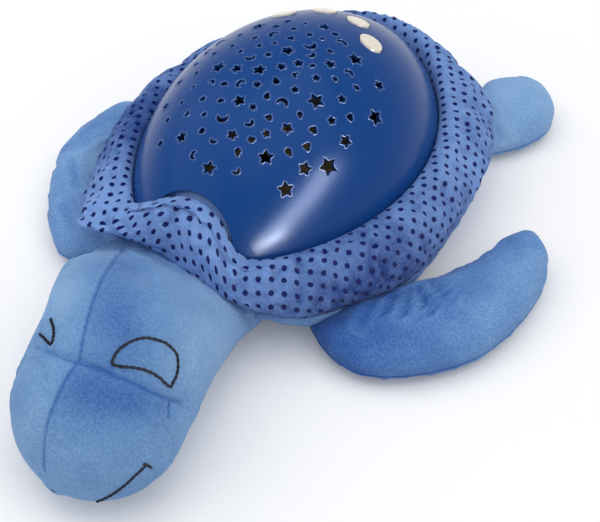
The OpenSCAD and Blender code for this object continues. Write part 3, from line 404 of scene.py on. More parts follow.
def plastic(name, color, rough=0.3, grain=False, coat=0.0, vary=0.06, bevel=0.0, level=0.5,
            tint=(1, 1, 1, 1)):
    """Moulded plastic: faint colour clouding, uneven gloss, and a fine grain or a slight ripple."""
    k = Nodes(name)
    dark = tuple(c * (1 - vary) for c in color[:3]) + (1.0,)
    light = tuple(min(c * (1 + vary), 1.0) for c in color[:3]) + (1.0,)
    gloss = k.math("ADD", rough - 0.03, k.math("MULTIPLY", k.noise(260.0, 2.0, 0.6), 0.06))
    edge = k.add("ShaderNodeBevel", {"Radius": bevel}, samples=4).outputs["Normal"] if bevel else None
    if grain:
        normal = k.bump(k.noise(1600.0), 0.35, 0.0002, edge)
    else:
        normal = k.bump(k.noise(90.0), 0.04, 0.0004, edge)
    return k.put(Base_Color=k.mix(k.noise(14.0), dark, light), Roughness=gloss, Normal=normal,
                 Coat_Weight=coat, Coat_Roughness=0.12, Specular_IOR_Level=level, Specular_Tint=tint)


def metal(name, color, rough=0.3):
    """Metal with faint wear in its colour, gloss and surface."""
    k = Nodes(name)
    wear = k.noise(420.0, 3.0, 0.6)
    dark = tuple(c * 0.82 for c in color[:3]) + (1.0,)
    return k.put(Base_Color=k.mix(wear, dark, color), Metallic=1.0, Normal=k.bump(wear, 0.08, 0.0001),
                 Roughness=k.math("ADD", rough, k.math("MULTIPLY", wear, 0.14)))


M = {
    "velvet": velvet("velvet", srgb(48, 90, 160), srgb(90, 132, 188), srgb(132, 170, 212)),
    "velvet_head": velvet("velvet_head", srgb(56, 98, 164), srgb(98, 139, 188), srgb(134, 170, 210), 20.0),
    "dotted": dotted("dotted"),
    "thread": plastic("thread", srgb(12, 15, 30), 0.8, True, level=0.2),
    "seam_thread": plastic("seam_thread", srgb(24, 36, 84), 0.7, True),
    "dome": plastic("dome", srgb(18, 65, 131), 0.23, False, 0.0, 0.04, 0.0004, 0.13, (0.78, 0.88, 1.0, 1.0)),
    # Lighter than the dome: a painted highlight on the cut-outs' rims
    "dome_rim_highlight": plastic("dome_rim_highlight", srgb(26, 74, 142), 0.3, False, 0.0, 0.04),
    "tub": plastic("tub", srgb(42, 82, 148), 0.5, True),
    "lip": plastic("lip", srgb(62, 102, 166), 0.4),
    "deck": plastic("deck", srgb(178, 152, 104), 0.6, True, 0.0, 0.1),
    "cap": plastic("cap", srgb(228, 220, 206), 0.32, False, 0.15, 0.03),
    "white": plastic("white", srgb(222, 218, 206), 0.5, True),
    "board": plastic("board", srgb(34, 88, 58), 0.42, False, 0.3, 0.12),
    "black": plastic("black", srgb(26, 26, 30), 0.45, True),
    "paper": plastic("paper", srgb(30, 30, 33), 0.85, True, 0.0, 0.15),
    "cell": plastic("cell", srgb(62, 64, 70), 0.35, False, 0.3, 0.1),
    "sleeve": plastic("sleeve", srgb(28, 36, 82), 0.35, False, 0.3),
    "red": plastic("red", srgb(170, 34, 32), 0.5, True),
    "orange": plastic("orange", srgb(212, 118, 42), 0.5, True),
    "grey": plastic("grey", srgb(174, 176, 182), 0.5, True),
    "led_red": plastic("led_red", srgb(200, 50, 46), 0.12, False, 0.6),
    "led_green": plastic("led_green", srgb(62, 168, 86), 0.12, False, 0.6),
    "led_blue": plastic("led_blue", srgb(54, 92, 204), 0.12, False, 0.6),
    "steel": metal("steel", srgb(186, 188, 192), 0.28),
    "brass": metal("brass", srgb(200, 170, 100), 0.3),
    "basket": plastic("basket", srgb(108, 110, 114), 0.4, True, 0.2),
}
NODE_MATERIAL = {
    "star_dome": "dome", "base_tub": "lip", "light_deck": "deck", "led_board": "board", "led_red": "led_red",
    "led_green": "led_green", "led_blue": "led_blue", "main_board": "board", "sound_chip": "black",
    "capacitors": "sleeve", "wire_sockets": "white", "button_board": "board", "tact_switches": "steel",
    "speaker_frame": "basket", "speaker_cone": "paper", "speaker_magnet": "steel", "speaker_ring": "white",
    "battery_box": "white", "battery_1": "cell", "battery_2": "cell", "battery_3": "cell",
    "battery_springs": "steel", "contact_plates": "brass", "battery_door": "lip", "door_screws": "steel",
    "housing_screws": "steel", "board_screws": "steel", "battery_leads": "red", "speaker_leads": "black",
    "led_leads": "orange", "button_ribbon": "grey",
}
for place in ("outer_right", "inner_right", "inner_left", "outer_left"):
    NODE_MATERIAL["plunger_" + place] = "black"
    NODE_MATERIAL["button_" + place] = "cap"
for node, key in NODE_MATERIAL.items():
    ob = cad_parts[node]
    ob.data.materials.clear()
    ob.data.materials.append(M[key])


def dress(ob, node):
    """A piece of the toy's body: attached to it, with the node it replaces hidden."""
    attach(ob, "toy")
    if node:
        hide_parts(node)


# ------------------------------------------------------------------ the dome's and the tub's outlines
ARC = (DOME_R**2 + (DOME_L - DOME_E)**2 - DOME_E**2) / (2 * (DOME_R - DOME_E))
MEET = (DOME_L - DOME_E) * ARC / (ARC - DOME_E)


def egg_r(y):
    y = np.abs(np.asarray(y, float))
    side = np.sqrt(np.maximum(ARC**2 - y**2, 0)) - (ARC - DOME_R)
    end = np.sqrt(np.maximum(DOME_E**2 - (y - (DOME_L - DOME_E))**2, 0))
    return np.where(y < MEET, side, end)


def egg_front_y(x, z, off=0.0):
    """Distance in front of the middle where the grown egg's end has this x and z."""
    return (DOME_L - DOME_E) + np.sqrt(np.maximum((DOME_E + off)**2 - x**2 - (z - AXIS)**2, 0.0))


def inner_oval(count):
    """Points round the dome where the fabric meets it, evenly spaced, from the front round by +X."""
    low = DOME_L - DOME_E + math.sqrt(DOME_E**2 - (RIM - AXIS)**2)
    y = -np.cos(np.linspace(0, np.pi, 2001)) * 0.99999 * low
    x = np.sqrt(np.maximum(egg_r(y)**2 - (RIM - AXIS)**2, 0.0))
    half = np.stack([x, y], -1)
    loop = np.concatenate([half, (half * [-1, 1])[::-1][1:]])
    s = lengths(loop)
    t = np.linspace(0, s[-1], count, endpoint=False)
    return np.stack([np.interp(t, s, loop[:, 0]), np.interp(t, s, loop[:, 1])], -1)


def tub_r(phi):
    """Polar radius of the tub's outline, an oval of two side arcs and two round ends."""
    c, s = np.abs(np.cos(phi)), np.abs(np.sin(phi))
    arc = (TUB_R**2 + (TUB_L - TUB_E)**2 - TUB_E**2) / (2 * (TUB_R - TUB_E))
    meet = (TUB_L - TUB_E) * arc / (arc - TUB_E)
    side = -(arc - TUB_R) * c + np.sqrt(arc**2 - (arc - TUB_R)**2 * s**2)
    end = s * (TUB_L - TUB_E) + np.sqrt(np.maximum(TUB_E**2 - (TUB_L - TUB_E)**2 * c**2, 0.0))
    return np.where(side * s < meet, side, end)


# ------------------------------------------------------------------ rims of the dome's cut-outs
def skin(p):
    """Height of points above the dome's outer skin."""
    return np.hypot(p[..., 0], p[..., 2] - AXIS) - egg_r(p[..., 1])


def cutout_loops():
    """Outlines of the dome's cut-outs, as loops of points on its skin."""
    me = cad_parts["star_dome"].data
    me.calc_loop_triangles()
    co = millimetres(np.array([v.co for v in me.vertices]))
    key, first, same = np.unique(np.round(co, 3), axis=0, return_index=True, return_inverse=True)
    same, co = same.ravel(), co[first]
    on_skin = np.abs(skin(co)) < 0.05
    edges = {}
    for tri in me.loop_triangles:
        a, b, c = [int(same[v]) for v in tri.vertices]
        if on_skin[a] and on_skin[b] and on_skin[c]:
            for e in ((a, b), (b, c), (c, a)):
                edges[e] = True
    after = {a: b for a, b in edges if (b, a) not in edges}
    loops = []
    while after:
        start, here = next(iter(after.items()))
        del after[start]
        loop = [start]
        while here != start and here in after:
            loop.append(here)
            here = after.pop(here)
        if here == start:
            loops.append(co[loop])
    return loops


def closed_path(loop, step):
    """Closed loop of points at about this spacing, with its corners rounded a little."""
    path = np.concatenate([loop, loop[:1]])
    run = lengths(path)
    at = np.linspace(0, run[-1], max(int(run[-1] / step), 12), endpoint=False)
    path = np.stack([np.interp(at, run, path[:, i]) for i in range(3)], -1)
    return 0.25 * np.roll(path, 1, axis=0) + 0.5 * path + 0.25 * np.roll(path, -1, axis=0)


def cutout_rims(widest=15.0, sides=8):
    """Low rounded bead moulded round each cut-out; the button openings are wider and have none."""
    ang = np.linspace(0, 2 * np.pi, sides, endpoint=False)
    verts, faces = [], []
    for loop in cutout_loops():
        if np.linalg.norm(np.ptp(loop, axis=0)) > widest:
            continue
        path = closed_path(loop, 0.55)
        up = np.stack([skin(path + step) - skin(path - step) for step in np.eye(3) * 0.01], -1)
        up /= np.linalg.norm(up, axis=1, keepdims=True)
        out = np.cross(np.roll(path, -1, axis=0) - np.roll(path, 1, axis=0), up)
        out /= np.linalg.norm(out, axis=1, keepdims=True)
        if (out * (path - path.mean(axis=0))).sum() < 0:
            out = -out
        ring = path[:, None] + out[:, None] * (0.4 + 0.5 * np.cos(ang))[:, None]
        ring = ring + up[:, None] * (0.3 * np.sin(ang) - 0.04)[:, None]
        start, count = len(verts), len(path)
        verts += [tuple(p) for p in metres(ring.reshape(-1, 3))]
        for i in range(count):
            for j in range(sides):
                k, m = (i + 1) % count, (j + 1) % sides
                faces.append([start + a * sides + b for a, b in ((i, j), (k, j), (k, m), (i, m))])
    me = bpy.data.meshes.new("cutout_rims")
    me.from_pydata(verts, [], faces)
    me.polygons.foreach_set("use_smooth", [True] * len(me.polygons))
    # Lighter plastic: a painted highlight along the rims
    me.materials.append(M["dome_rim_highlight"])
    ob = new_object("cutout_rims", me)
    work = bmesh.new()
    work.from_mesh(me)
    bmesh.ops.recalc_face_normals(work, faces=work.faces)
    work.to_mesh(me)
    work.free()
    dress(ob, None)


cutout_rims()

# ------------------------------------------------------------------ collar
# Round the collar, in degrees from +X: how far out it reaches, how far its seam lies inside that,
# how high the seam is, and how far the crest rises above its usual height over the dome's edge
WIDEST = [(-173, 94.5), (-160, 96.2), (-147.5, 100.6), (-137, 106.1), (-130, 111.5), (-124, 116),
          (-120, 118), (-116.5, 118), (-112.8, 115.5), (-107, 109), (-100, 105), (-93, 104),
          (-83, 107.5), (-73, 113.5), (-66, 115), (-61.4, 115.4), (-54.4, 113.2), (-43.7, 106.9),
          (-33.5, 104.8), (-20.6, 101.5), (0.5, 96.5), (20.6, 100), (36.5, 108.2), (45, 112.9),
          (51.5, 117), (60, 121), (72, 121.5), (90, 119.5), (108, 119), (120, 119), (130, 115),
          (146.8, 105.4), (159, 98.6), (175.8, 96)]
SEAM_IN = [(-150, 3), (-135, 4.5), (-125, 8), (-118, 11), (-112, 10), (-105, 6.2), (-96, 3.3),
           (-83, 2.5), (-74, 4), (-67, 6), (-55, 4), (-40, 2.6), (0, 2.4), (90, 2.6), (160, 3)]
SEAM_Z = [(-170, 24), (-150, 24), (-135, 26), (-125, 29), (-118, 34), (-112, 36.5), (-105, 37),
          (-96, 36), (-83, 33), (-74, 29.5), (-67, 26.5), (-55, 23), (-40, 21), (0, 20.5), (60, 21),
          (120, 22), (160, 23)]
RISE = [(-175, 3.2), (-160, 1.8), (-140, 1.0), (-125, 1.0), (-100, 0.4), (-60, 0), (0, 0),
        (35, 0.6), (50, 2.2), (64, 5.2), (75, 7.6), (88, 8.2), (100, 7.6), (112, 6.4), (128, 4),
        (145, 2.4), (160, 2.6), (172, 3.2)]
# At the doorway, by x: height of the fabric's upper edge, and how far it stands off the dome's skin
DOOR_HALF = 41
EDGE_Z = [(-41, 43), (-39.5, 43.6), (-29.8, 51.8), (-22.8, 57), (-17.8, 60), (-10.4, 62.4),
          (-1.8, 63.8), (4, 63.4), (7, 62.5), (12.9, 60.1), (17.3, 56.7), (22, 52.4), (26.9, 48.5),
          (31.3, 45.9), (36, 44.4), (41, 43)]
EDGE_OFF = [(-41, 0.4), (-24, 0.8), (-18, 0.2), (-12, -2.4), (-6, -2.8), (12, -2.8), (18, -2.2),
            (24, 0), (30, 0.6), (41, 0.4)]
# Creases in the cloth, as pixels of the image, with their depth in mm
CREASES = [
    ([(300, 262), (302.5, 272), (301, 285), (299, 300)], 0.9), ([(373, 243), (370, 258), (373, 276)], 0.8),
    ([(416, 226), (420, 238), (427, 250)], 0.9), ([(418, 192), (415, 203), (419, 212)], 0.6),
    ([(381, 258), (384, 270), (391, 282)], 0.7), ([(446, 185), (442, 197), (445, 206)], 0.6),
    ([(178, 208), (172, 218), (166, 226)], 0.8), ([(213, 215), (222, 226), (236, 240)], 0.7),
    ([(73, 213), (79, 224), (86, 234)], 1.5), ([(80, 210), (87, 222), (93, 236)], 1.7),
    ([(89, 208), (96, 221), (103, 235)], 1.6), ([(99, 209), (106, 221), (112, 231)], 1.2),
    ([(125, 213), (122, 224), (128, 234)], 0.9), ([(150, 214), (146, 226), (150, 240)], 0.6),
    ([(338, 284), (341, 296), (338, 306)], 0.6), ([(95, 150), (88, 158), (80, 170)], 0.6),
    ([(263, 250), (262, 265), (258, 282)], 0.6), ([(464, 120), (470, 128), (480, 133)], 0.5),
]
ROWS, COLS = 62, 400
# Levels of the cloth, from its fold at the dome to the hem: 0 is the dome's edge and 1 the hem
FOLD_LEVEL, SEAM_LEVEL = -0.05, 0.89
CREST = 3.4  # usual height of the crest over the dome's edge


def collar_points():
    """Grid of the collar's cover, from the fold at the dome over its crest and seam to the hem under it."""
    ring = inner_oval(COLS)
    x, y = ring[:, 0], ring[:, 1]
    phi = np.arctan2(y, x)
    deg = np.degrees(phi)
    door = (y < 0) & (np.abs(x) < DOOR_HALF)
    zc = np.where(door, spline(*np.array(EDGE_Z).T, x), RIM)
    off = spline(*np.array(EDGE_OFF).T, x)
    yc = np.where(door, -egg_front_y(x, zc, off), y)
    C = np.stack([x, yc], -1)
    wide = around(WIDEST, deg)
    seam_in, zs = around(SEAM_IN, deg), around(SEAM_Z, deg)
    E = np.stack([wide * np.cos(phi), wide * np.sin(phi)], -1)
    left_front = np.exp(-((deg + 125.0) / 24.0)**2)
    rise_at = around(RISE, deg)
    hem = smooth(-150, -132, deg) * (1 - smooth(-74, -62, deg))
    knots = np.array([FOLD_LEVEL, 0.0, 0.03, 0.1, 0.2, 0.34, 0.5, 0.64, 0.75, 0.84, 0.87, SEAM_LEVEL,
                      0.91, 0.95, 1.0])
    t = np.linspace(knots[0], knots[-1], ROWS)
    P = np.zeros((ROWS, COLS, 3))
    for j in range(COLS):
        W = np.linalg.norm(E[j] - C[j])
        u = (E[j] - C[j]) / W
        z0, s = zc[j], zs[j]
        top = max(z0 + 0.6, RIM + CREST + rise_at[j])
        rise = top - z0
        zw = s + lerp(9.5, 4.5, left_front[j])
        ins, h = seam_in[j], hem[j]
        d = np.array([1.2, 0.2, 1.0, 4.0, 8.5, 0.44 * W, 0.66 * W, 0.86 * W, W, W - 0.25 * ins,
                      W - ins + 0.4, W - ins - 1.0, W - ins - 0.2, W - ins - 0.3 - 1.2 * (1 - h),
                      W - ins - 2.0 - 3.0 * (1 - h)])
        z = np.array([z0 - 4.0, z0, z0 + 0.5 * rise, z0 + 0.92 * rise, top, lerp(top, zw, 0.1),
                      lerp(top, zw, 0.3), lerp(top, zw, 0.62), zw, lerp(s, zw, 0.42), s + 0.9, s, s - 0.9,
                      s - 1.6 - 1.8 * h, s - 2.0 - 4.4 * h])
        dd = spline(knots, d, t)
        P[:, j, :2] = C[j] + u * dd[:, None]
        P[:, j, 2] = spline(knots, z, t)
    return P, C, E, phi, hem


P, C, E, phi, hem = collar_points()
level = np.linspace(FOLD_LEVEL, 1.0, ROWS)[:, None]
seam_row = int(np.argmin(np.abs(level[:, 0] - SEAM_LEVEL)))
# The printed cloth is laid out flat: a point lies as far from the dome's edge as along the cloth
out_dir = (E - C) / np.linalg.norm(E - C, axis=1, keepdims=True)
run = lengths(P, axis=2)
flat = (inner_oval(COLS)[None] + out_dir[None] * run[..., None]) / 1000.0
uv = np.stack([flat[..., 0] * math.cos(DOT_TURN) + flat[..., 1] * math.sin(DOT_TURN),
               flat[..., 1] * math.cos(DOT_TURN) - flat[..., 0] * math.sin(DOT_TURN)], -1)
uv = np.concatenate([uv, uv[:, :1]], axis=1)

N = normals_of(P)
collar_flip = N[ROWS // 3, 10, 2] < 0
if collar_flip:
    N = -N
tree = tree_of(P)
free = smooth(0.06, 0.25, level) * (1 - smooth(0.8, 0.88, level))
pin = np.clip(1.0 - free * np.ones_like(P[..., 0]), 0, 1)
push = np.zeros(P.shape[:2])
for px, depth in CREASES:
    line = hits(px, tree)
    if len(line) > 1:
        away = distance_to(P, densify(line, 3.0))
        push += 1.5 * depth * (0.4 * np.exp(-((away - 4.2) / 2.6)**2) - np.exp(-(away / 1.7)**2))
push += 1.0 * bumps(P, 24.0, 1.0) + 0.6 * bumps(P, 10.0, 2.0)
folds = bumps(P * np.array([1.0, 1.0, 0.5]), 15.0, 6.0)
push -= 1.3 * np.exp(-(folds / 0.13)**2) * smooth(0.1, 0.4, bumps(P, 34.0, 7.0) + 0.25)
P = stuffed("collar", P, pin, 0.035, 2.5, 2.2, (False, False), collar_flip)
P = P + N * (push * smooth(0.05, 0.2, level) * (1 - 0.7 * smooth(0.62, 0.82, level)))[..., None]
# Short puckers where the thread draws the seam in
length = lengths(P[seam_row])
draw = np.exp(-((level - 0.86) / 0.045)**2) + 0.6 * np.exp(-((level - 0.94) / 0.03)**2)
wave = np.sin(length / 2.1 + 3.0 * bumps(P[seam_row][None], 22.0, 4.0)[0])
P = P + N * (0.32 * draw * wave[None])[..., None]
collar = grid_object("collar_cover", P, M["dotted"], uv, flip=collar_flip)


def near_deg(middle, width):
    """1 at this direction round the collar, falling off to both sides."""
    off = (np.degrees(phi) - middle + 180.0) % 360.0 - 180.0
    return np.exp(-(off / width)**2)[None]


# Painted on the collar, partly nap and partly painted shade and light: darker on the outer slope at the
# front right and at the left, paler at the front, front left, right and right rear; painted shade in the
# dips of its creases and folds, painted light on its bumps
nap_and_shade = 0.75 * near_deg(-40, 26) * smooth(0.25, 0.7, level) + 0.6 * near_deg(-160, 22)
nap_and_shade = nap_and_shade - 0.3 * near_deg(14, 22) - 0.5 * near_deg(-79, 14) - 0.8 * near_deg(-115, 16)
nap_and_shade = nap_and_shade - 0.3 * near_deg(62, 22) + 0.22 * np.clip(-push, -0.6, 1.5)
paint(collar, "nap_and_shade", nap_and_shade)
dress(collar, "collar")

# ------------------------------------------------------------------ belly
# Down the belly's side: how far in it curves, and its height as a share of the seam's
DOWN = [0, 0.08, 0.2, 0.36, 0.52, 0.68, 0.8, 1.0]
CURVE_IN = [1.5, 0.2, 0.4, 3.4, 9.0, 15.0, 20.0, 22.0]
CURVE_Z = [0.93, 0.86, 0.74, 0.48, 0.22, 0.06, 0.0, 0.0]
FLAT_IN = CURVE_IN[-1]  # where the underside becomes flat
down = np.linspace(0, 1, 40)
seam = np.linalg.norm(P[seam_row, :, :2], axis=1)
hole = tub_r(phi) + 0.7
room = np.minimum((seam - hole - 5.0) / FLAT_IN, 1.0)
under_front = 1.0 + 2.2 * np.exp(-((np.degrees(phi) + 76.0) / 14.0)**2)
zs = P[seam_row, :, 2]
B = np.zeros((len(down), COLS, 3))
for i, (inset, z) in enumerate(zip(spline(DOWN, CURVE_IN, down), spline(DOWN, CURVE_Z, down))):
    r = seam - np.minimum(inset * under_front, FLAT_IN) * room
    B[i] = np.stack([r * np.cos(phi), r * np.sin(phi), (zs - hem * 5.0) * z + REST], -1)
under = []
for f, z in ((0.35, REST), (0.7, REST), (0.92, 0.5), (1.0, 1.6), (1.0, 4.0), (1.0, 8.0)):
    r = lerp(seam - FLAT_IN * room, hole, f)
    under.append(np.stack([r * np.cos(phi), r * np.sin(phi), np.full(COLS, z)], -1))
B = np.concatenate([B, np.array(under)])
BN = normals_of(B)
belly_flip = BN[8, 10] @ np.array([math.cos(phi[10]), math.sin(phi[10]), 0.0]) < 0
if belly_flip:
    BN = -BN
side = smooth(0.06, 0.2, down) * (1 - smooth(0.6, 0.8, down))
side = np.concatenate([side, np.zeros(len(under))])[:, None]
B = B + BN * (side * (0.9 * bumps(B, 30.0, 11.0) + 0.3 * bumps(B, 9.0, 12.0)))[..., None]
belly = grid_object("belly_cover", B, M["velvet"], flip=belly_flip)
dress(belly, "belly")


# ------------------------------------------------------------------ limbs
def limb(name, outer, inner, top, seam_z, rings=84, sides=80, seed=0.0, creases=(), nap_and_shade=(0, 0)):
    """Stuffed limb of two panels sewn along the outline. outer and inner run from the body to the
    shared tip, top holds the heights along it, and the last argument holds how much darker the piece is
    painted at the body and at the tip, partly nap and partly painted shade and light."""
    t = 1 - (1 - np.linspace(0, 0.9995, rings))**1.7
    O = spline(np.linspace(0, 1, len(outer)), outer, t)
    I = spline(np.linspace(0, 1, len(inner)), inner, t)
    mid, half = (O + I) / 2, (O - I) / 2
    w = np.linalg.norm(half, axis=1)
    blunt = smooth(-2, 15, w)
    zt = spline(np.linspace(0, 1, len(top)), top, t)
    zt = seam_z + (zt - seam_z) * np.sqrt(blunt)
    zb = seam_z + (REST - seam_z) * np.sqrt(blunt)
    ang = np.linspace(0, 2 * np.pi, sides, endpoint=False)
    ang = ang - 0.42 * np.sin(2 * ang)  # closer together at the two seams
    c, s = np.cos(ang), np.sin(ang)
    lift = np.sign(s) * np.abs(s)**(2 / 2.6)
    Q = np.zeros((rings, sides, 3))
    wide = np.sign(c) * np.abs(c)**np.where(s < 0, 2.4, 2 / 2.1)  # the lower panel is narrower
    Q[..., :2] = mid[:, None] + half[:, None] * wide[None, :, None]
    Q[..., 2] = seam_z + np.where(lift > 0, (zt - seam_z)[:, None] * lift, (seam_z - zb)[:, None] * lift)
    N = normals_of(Q)
    flip = N[rings // 2, sides // 4, 2] < 0
    if flip:
        N = -N
    edge = np.minimum(np.abs(c - 1), np.abs(c + 1))[None] * np.ones((rings, 1))
    pin = np.maximum(np.exp(-(edge / 0.02)**2), np.exp(-(t / 0.05)**2)[:, None])
    pin = np.maximum(pin, smooth(2.5, 0.8, Q[..., 2]))
    Q = stuffed(name, Q, pin, 0.035, 3.0, 1.3, flip=flip)
    run = lengths(O)
    from_seam = np.abs(Q[..., 2] - seam_z)
    wave = np.sin(run[:, None] / 1.9 + 2.5 * bumps(Q, 18.0, seed + 3.0))
    wave = wave * np.exp(-((from_seam - 3.0) / 2.2)**2)
    # Groove along the seam: dented in, and painted darker as painted shade in it
    seam_groove = np.exp(-(from_seam / 0.7)**2) * smooth(0.0, 4.0, w)[:, None]
    lumps = 0.45 * bumps(Q, 30.0, seed + 5.0) + 0.14 * bumps(Q, 8.0, seed + 6.0)
    move = 0.22 * wave - 0.55 * seam_groove + lumps
    # dark starts with the painted shade in the seam's groove
    tree, dark = tree_of(Q), 0.45 * seam_groove
    for px, depth in creases:
        line = hits(px, tree)
        if len(line) > 1:
            away = distance_to(Q, densify(line, 3.0))
            move += depth * (0.5 * np.exp(-((away - 4.0) / 2.4)**2) - np.exp(-(away / 1.8)**2))
            # Painted shade in the crease, and painted light on its shoulders
            pale = 0.6 * np.exp(-((away - 4.5) / 2.0)**2)
            dark = dark + 0.16 * depth * (np.exp(-(away / 1.6)**2) - pale)
    Q = Q + N * (move * smooth(0, 6, w)[:, None])[..., None]
    Q[..., 2] = np.maximum(Q[..., 2], REST)
    cover = grid_object(name + "_cover", Q, M["velvet"], None, (True, True), flip)
    # Painted on the cover: shade in the seam's groove and creases, light beside them, and the darkness set
    # along the limb
    paint(cover, "nap_and_shade", dark + lerp(nap_and_shade[0], nap_and_shade[1], smooth(0.15, 0.85, t))[:, None])
    dress(cover, name)


# Creases of the front flippers, as pixels of the image, with their depth in mm
NEAR_CREASES = [
    ([(419, 287), (424, 297), (432, 310)], 2.0), ([(409, 291), (408, 300), (405, 313)], 1.6),
    ([(430, 282), (440, 290), (453, 297)], 1.2), ([(396, 295), (391, 304), (383, 316)], 1.2),
    ([(372, 303), (366, 314), (360, 326)], 0.8),
]
FAR_CREASES = [([(72, 160), (75, 172), (77, 186)], 0.8), ([(60, 205), (68, 214), (74, 226)], 0.7)]
# The last pair of each limb is how much darker it is painted at the body and at the tip, partly nap and
# partly painted shade and light
limb("flipper_front_left",
     [(50, -73.5), (66.5, -87), (81.5, -95), (98.5, -95.5), (118.5, -84.5), (137.5, -61.5),
      (146.5, -31.5), (146.5, 1), (136.5, 24.5), (127, 29)],
     [(66, -36), (82, -43.5), (90.5, -34.5), (98.5, -26), (105, -15), (112, -1), (115.5, 15.5),
      (121, 24), (125, 28), (127, 29)],
     [18, 21, 23, 24, 23, 22, 20, 17], 8.0, seed=1.0, creases=NEAR_CREASES, nap_and_shade=(0.55, -0.16))
limb("flipper_front_right",
     [(-52, -97), (-72.5, -103), (-90, -91.5), (-104.5, -74), (-114.5, -56), (-121.5, -37),
      (-123.5, -15.5), (-120.5, 4), (-113.5, 15)],
     [(-44, -70), (-69.5, -63.5), (-81.5, -51.5), (-89, -36), (-92.5, -20.5), (-94.5, -5.5),
      (-98.5, 6.5), (-106, 13.5), (-113.5, 15)],
     [19, 21, 23, 24, 24, 22, 20, 17], 8.0, seed=2.0, creases=FAR_CREASES, nap_and_shade=(-0.22, -0.02))
limb("flipper_rear_left",
     [(43.5, 98.5), (48, 114), (50.5, 125.5), (52, 134.5), (57, 140.5), (62.5, 145), (68, 148.5),
      (71, 150)],
     [(69.5, 74), (82.5, 85.5), (91, 96.5), (96.5, 108), (98.5, 121.5), (94, 135), (83.5, 145),
      (71, 150)],
     [18, 20, 21, 20, 18, 15], 7.0, seed=3.0, nap_and_shade=(-0.35, -0.42))
limb("flipper_rear_right",
     [(-74, 68), (-80, 82), (-83, 96), (-83, 110), (-80, 123), (-74, 134), (-64, 142), (-52, 145)],
     [(-34, 92), (-32, 106), (-30, 118), (-30.5, 128), (-33.5, 137), (-40, 142.5), (-46, 144.5),
      (-52, 145)],
     [18, 20, 21, 20, 18, 15], 7.0, seed=4.0)
limb("tail",
     [(-12, 98), (-11.5, 110), (-10, 121), (-7, 130), (-3, 134), (0, 135)],
     [(12, 98), (11.5, 110), (10, 121), (7, 130), (3, 134), (0, 135)],
     [15, 17, 15, 10], 7.0, rings=40, sides=44, seed=5.0)

# ------------------------------------------------------------------ head
# Snout's end, length of its rounded cap, and the neck's end, along Y. Then, at rising Y, the head's
# middle, half width and top
HEAD_END, CAP_L, NECK = -228.5, 36.5, -92.0
HEAD_Y = [HEAD_END, -193, -170, -147, -124, -107, NECK]
HEAD_X = [20.2, 16.6, 12.4, 4.2, -3.5, -5.5, -5]
HEAD_W = [39.5, 40.5, 42, 44.5, 47.5, 46, 46]
HEAD_T = [52, 63, 68, 65, 52, 39, 34]
INSIDE_HEAD = np.array([15, -165, 30])


def head_points(rings=230, sides=260, straight=160):
    """Grid of the head and neck, from the neck's end under the collar to the snout."""
    ang = np.linspace(0, 2 * np.pi, sides, endpoint=False)
    oval = 2 / 2.15
    cx = np.sign(np.cos(ang)) * np.abs(np.cos(ang))**oval
    sx = np.sign(np.sin(ang)) * np.abs(np.sin(ang))**oval
    Q = np.zeros((rings, sides, 3))
    body = np.linspace(NECK, HEAD_END + CAP_L, straight)[:-1]
    bend = np.linspace(0, np.pi / 2 - 0.02, rings - straight + 1)
    for i in range(rings):
        if i < straight - 1:
            y, k = body[i], 1.0
            w, top = spline(HEAD_Y, HEAD_W, [y])[0], spline(HEAD_Y, HEAD_T, [y])[0]
        else:
            a = bend[i - straight + 1]
            y, k = HEAD_END + CAP_L - CAP_L * math.sin(a), math.cos(a)**0.9
            w, top = HEAD_W[1], spline([0, 0.5, 1.0, 1.5708], [63, 60, 53, 40], [a])[0]
        mid = REST + 0.45 * (top - REST)
        Q[i, :, 0] = spline(HEAD_Y, HEAD_X, [y])[0] + w * k * cx
        Q[i, :, 1] = y
        Q[i, :, 2] = mid + np.where(sx > 0, (top - mid) * k * sx, (mid - REST) * k * sx)
    return Q


H = head_points()
HN = normals_of(H)
head_flip = HN[60, 55, 2] < 0
if head_flip:
    HN = -HN
# Seams of the head, as pixels of the image
CENTRE_SEAM = [(123, 247), (112, 262), (98.6, 282), (88, 311), (80, 344), (75, 359), (64, 377),
               (54, 399), (45, 426), (42, 457), (43, 473)]
CROSS_SEAM = [(33, 346), (52, 352), (75, 359), (95, 366), (115, 374.5), (134, 382), (152, 391),
              (174.5, 400), (185, 403)]
DART = [(174.5, 400), (172.5, 409), (170, 418)]
tree = tree_of(H)
seams = [densify(hits(px, tree), 2.0) for px in (CENTRE_SEAM, CROSS_SEAM, DART)]
d_centre, d_cross, d_dart = [distance_to(H, s) for s in seams]
valley = 1.2 * np.exp(-(d_centre / 7.0)**2) + 1.8 * np.exp(-(d_cross / 6.0)**2)
valley = valley + 0.6 * np.exp(-(d_dart / 3.0)**2)
soft = 0.8 * bumps(H, 40.0, 8.0) + 0.2 * bumps(H, 11.0, 9.0)
H = H + HN * (soft - valley)[..., None]
pin = np.maximum(np.exp(-(d_centre / 2.0)**2), np.exp(-(d_cross / 2.0)**2))
pin = np.maximum(pin, smooth(-98, -94, H[..., 1]))
pin = np.maximum(pin, smooth(3.0, 1.0, H[..., 2]))
H = stuffed("head", H, pin, 0.02, 3.0, 1.2, flip=head_flip)
# Groove along the seams: dented in, and painted darker as painted shade in it
seam_groove = np.exp(-(np.minimum(np.minimum(d_centre, d_cross), d_dart) / 0.85)**2)
H = H - HN * (0.7 * seam_groove)[..., None]
H[..., 2] = np.maximum(H[..., 2], REST)
head = grid_object("head_cover", H, M["velvet_head"], None, (True, True), head_flip)

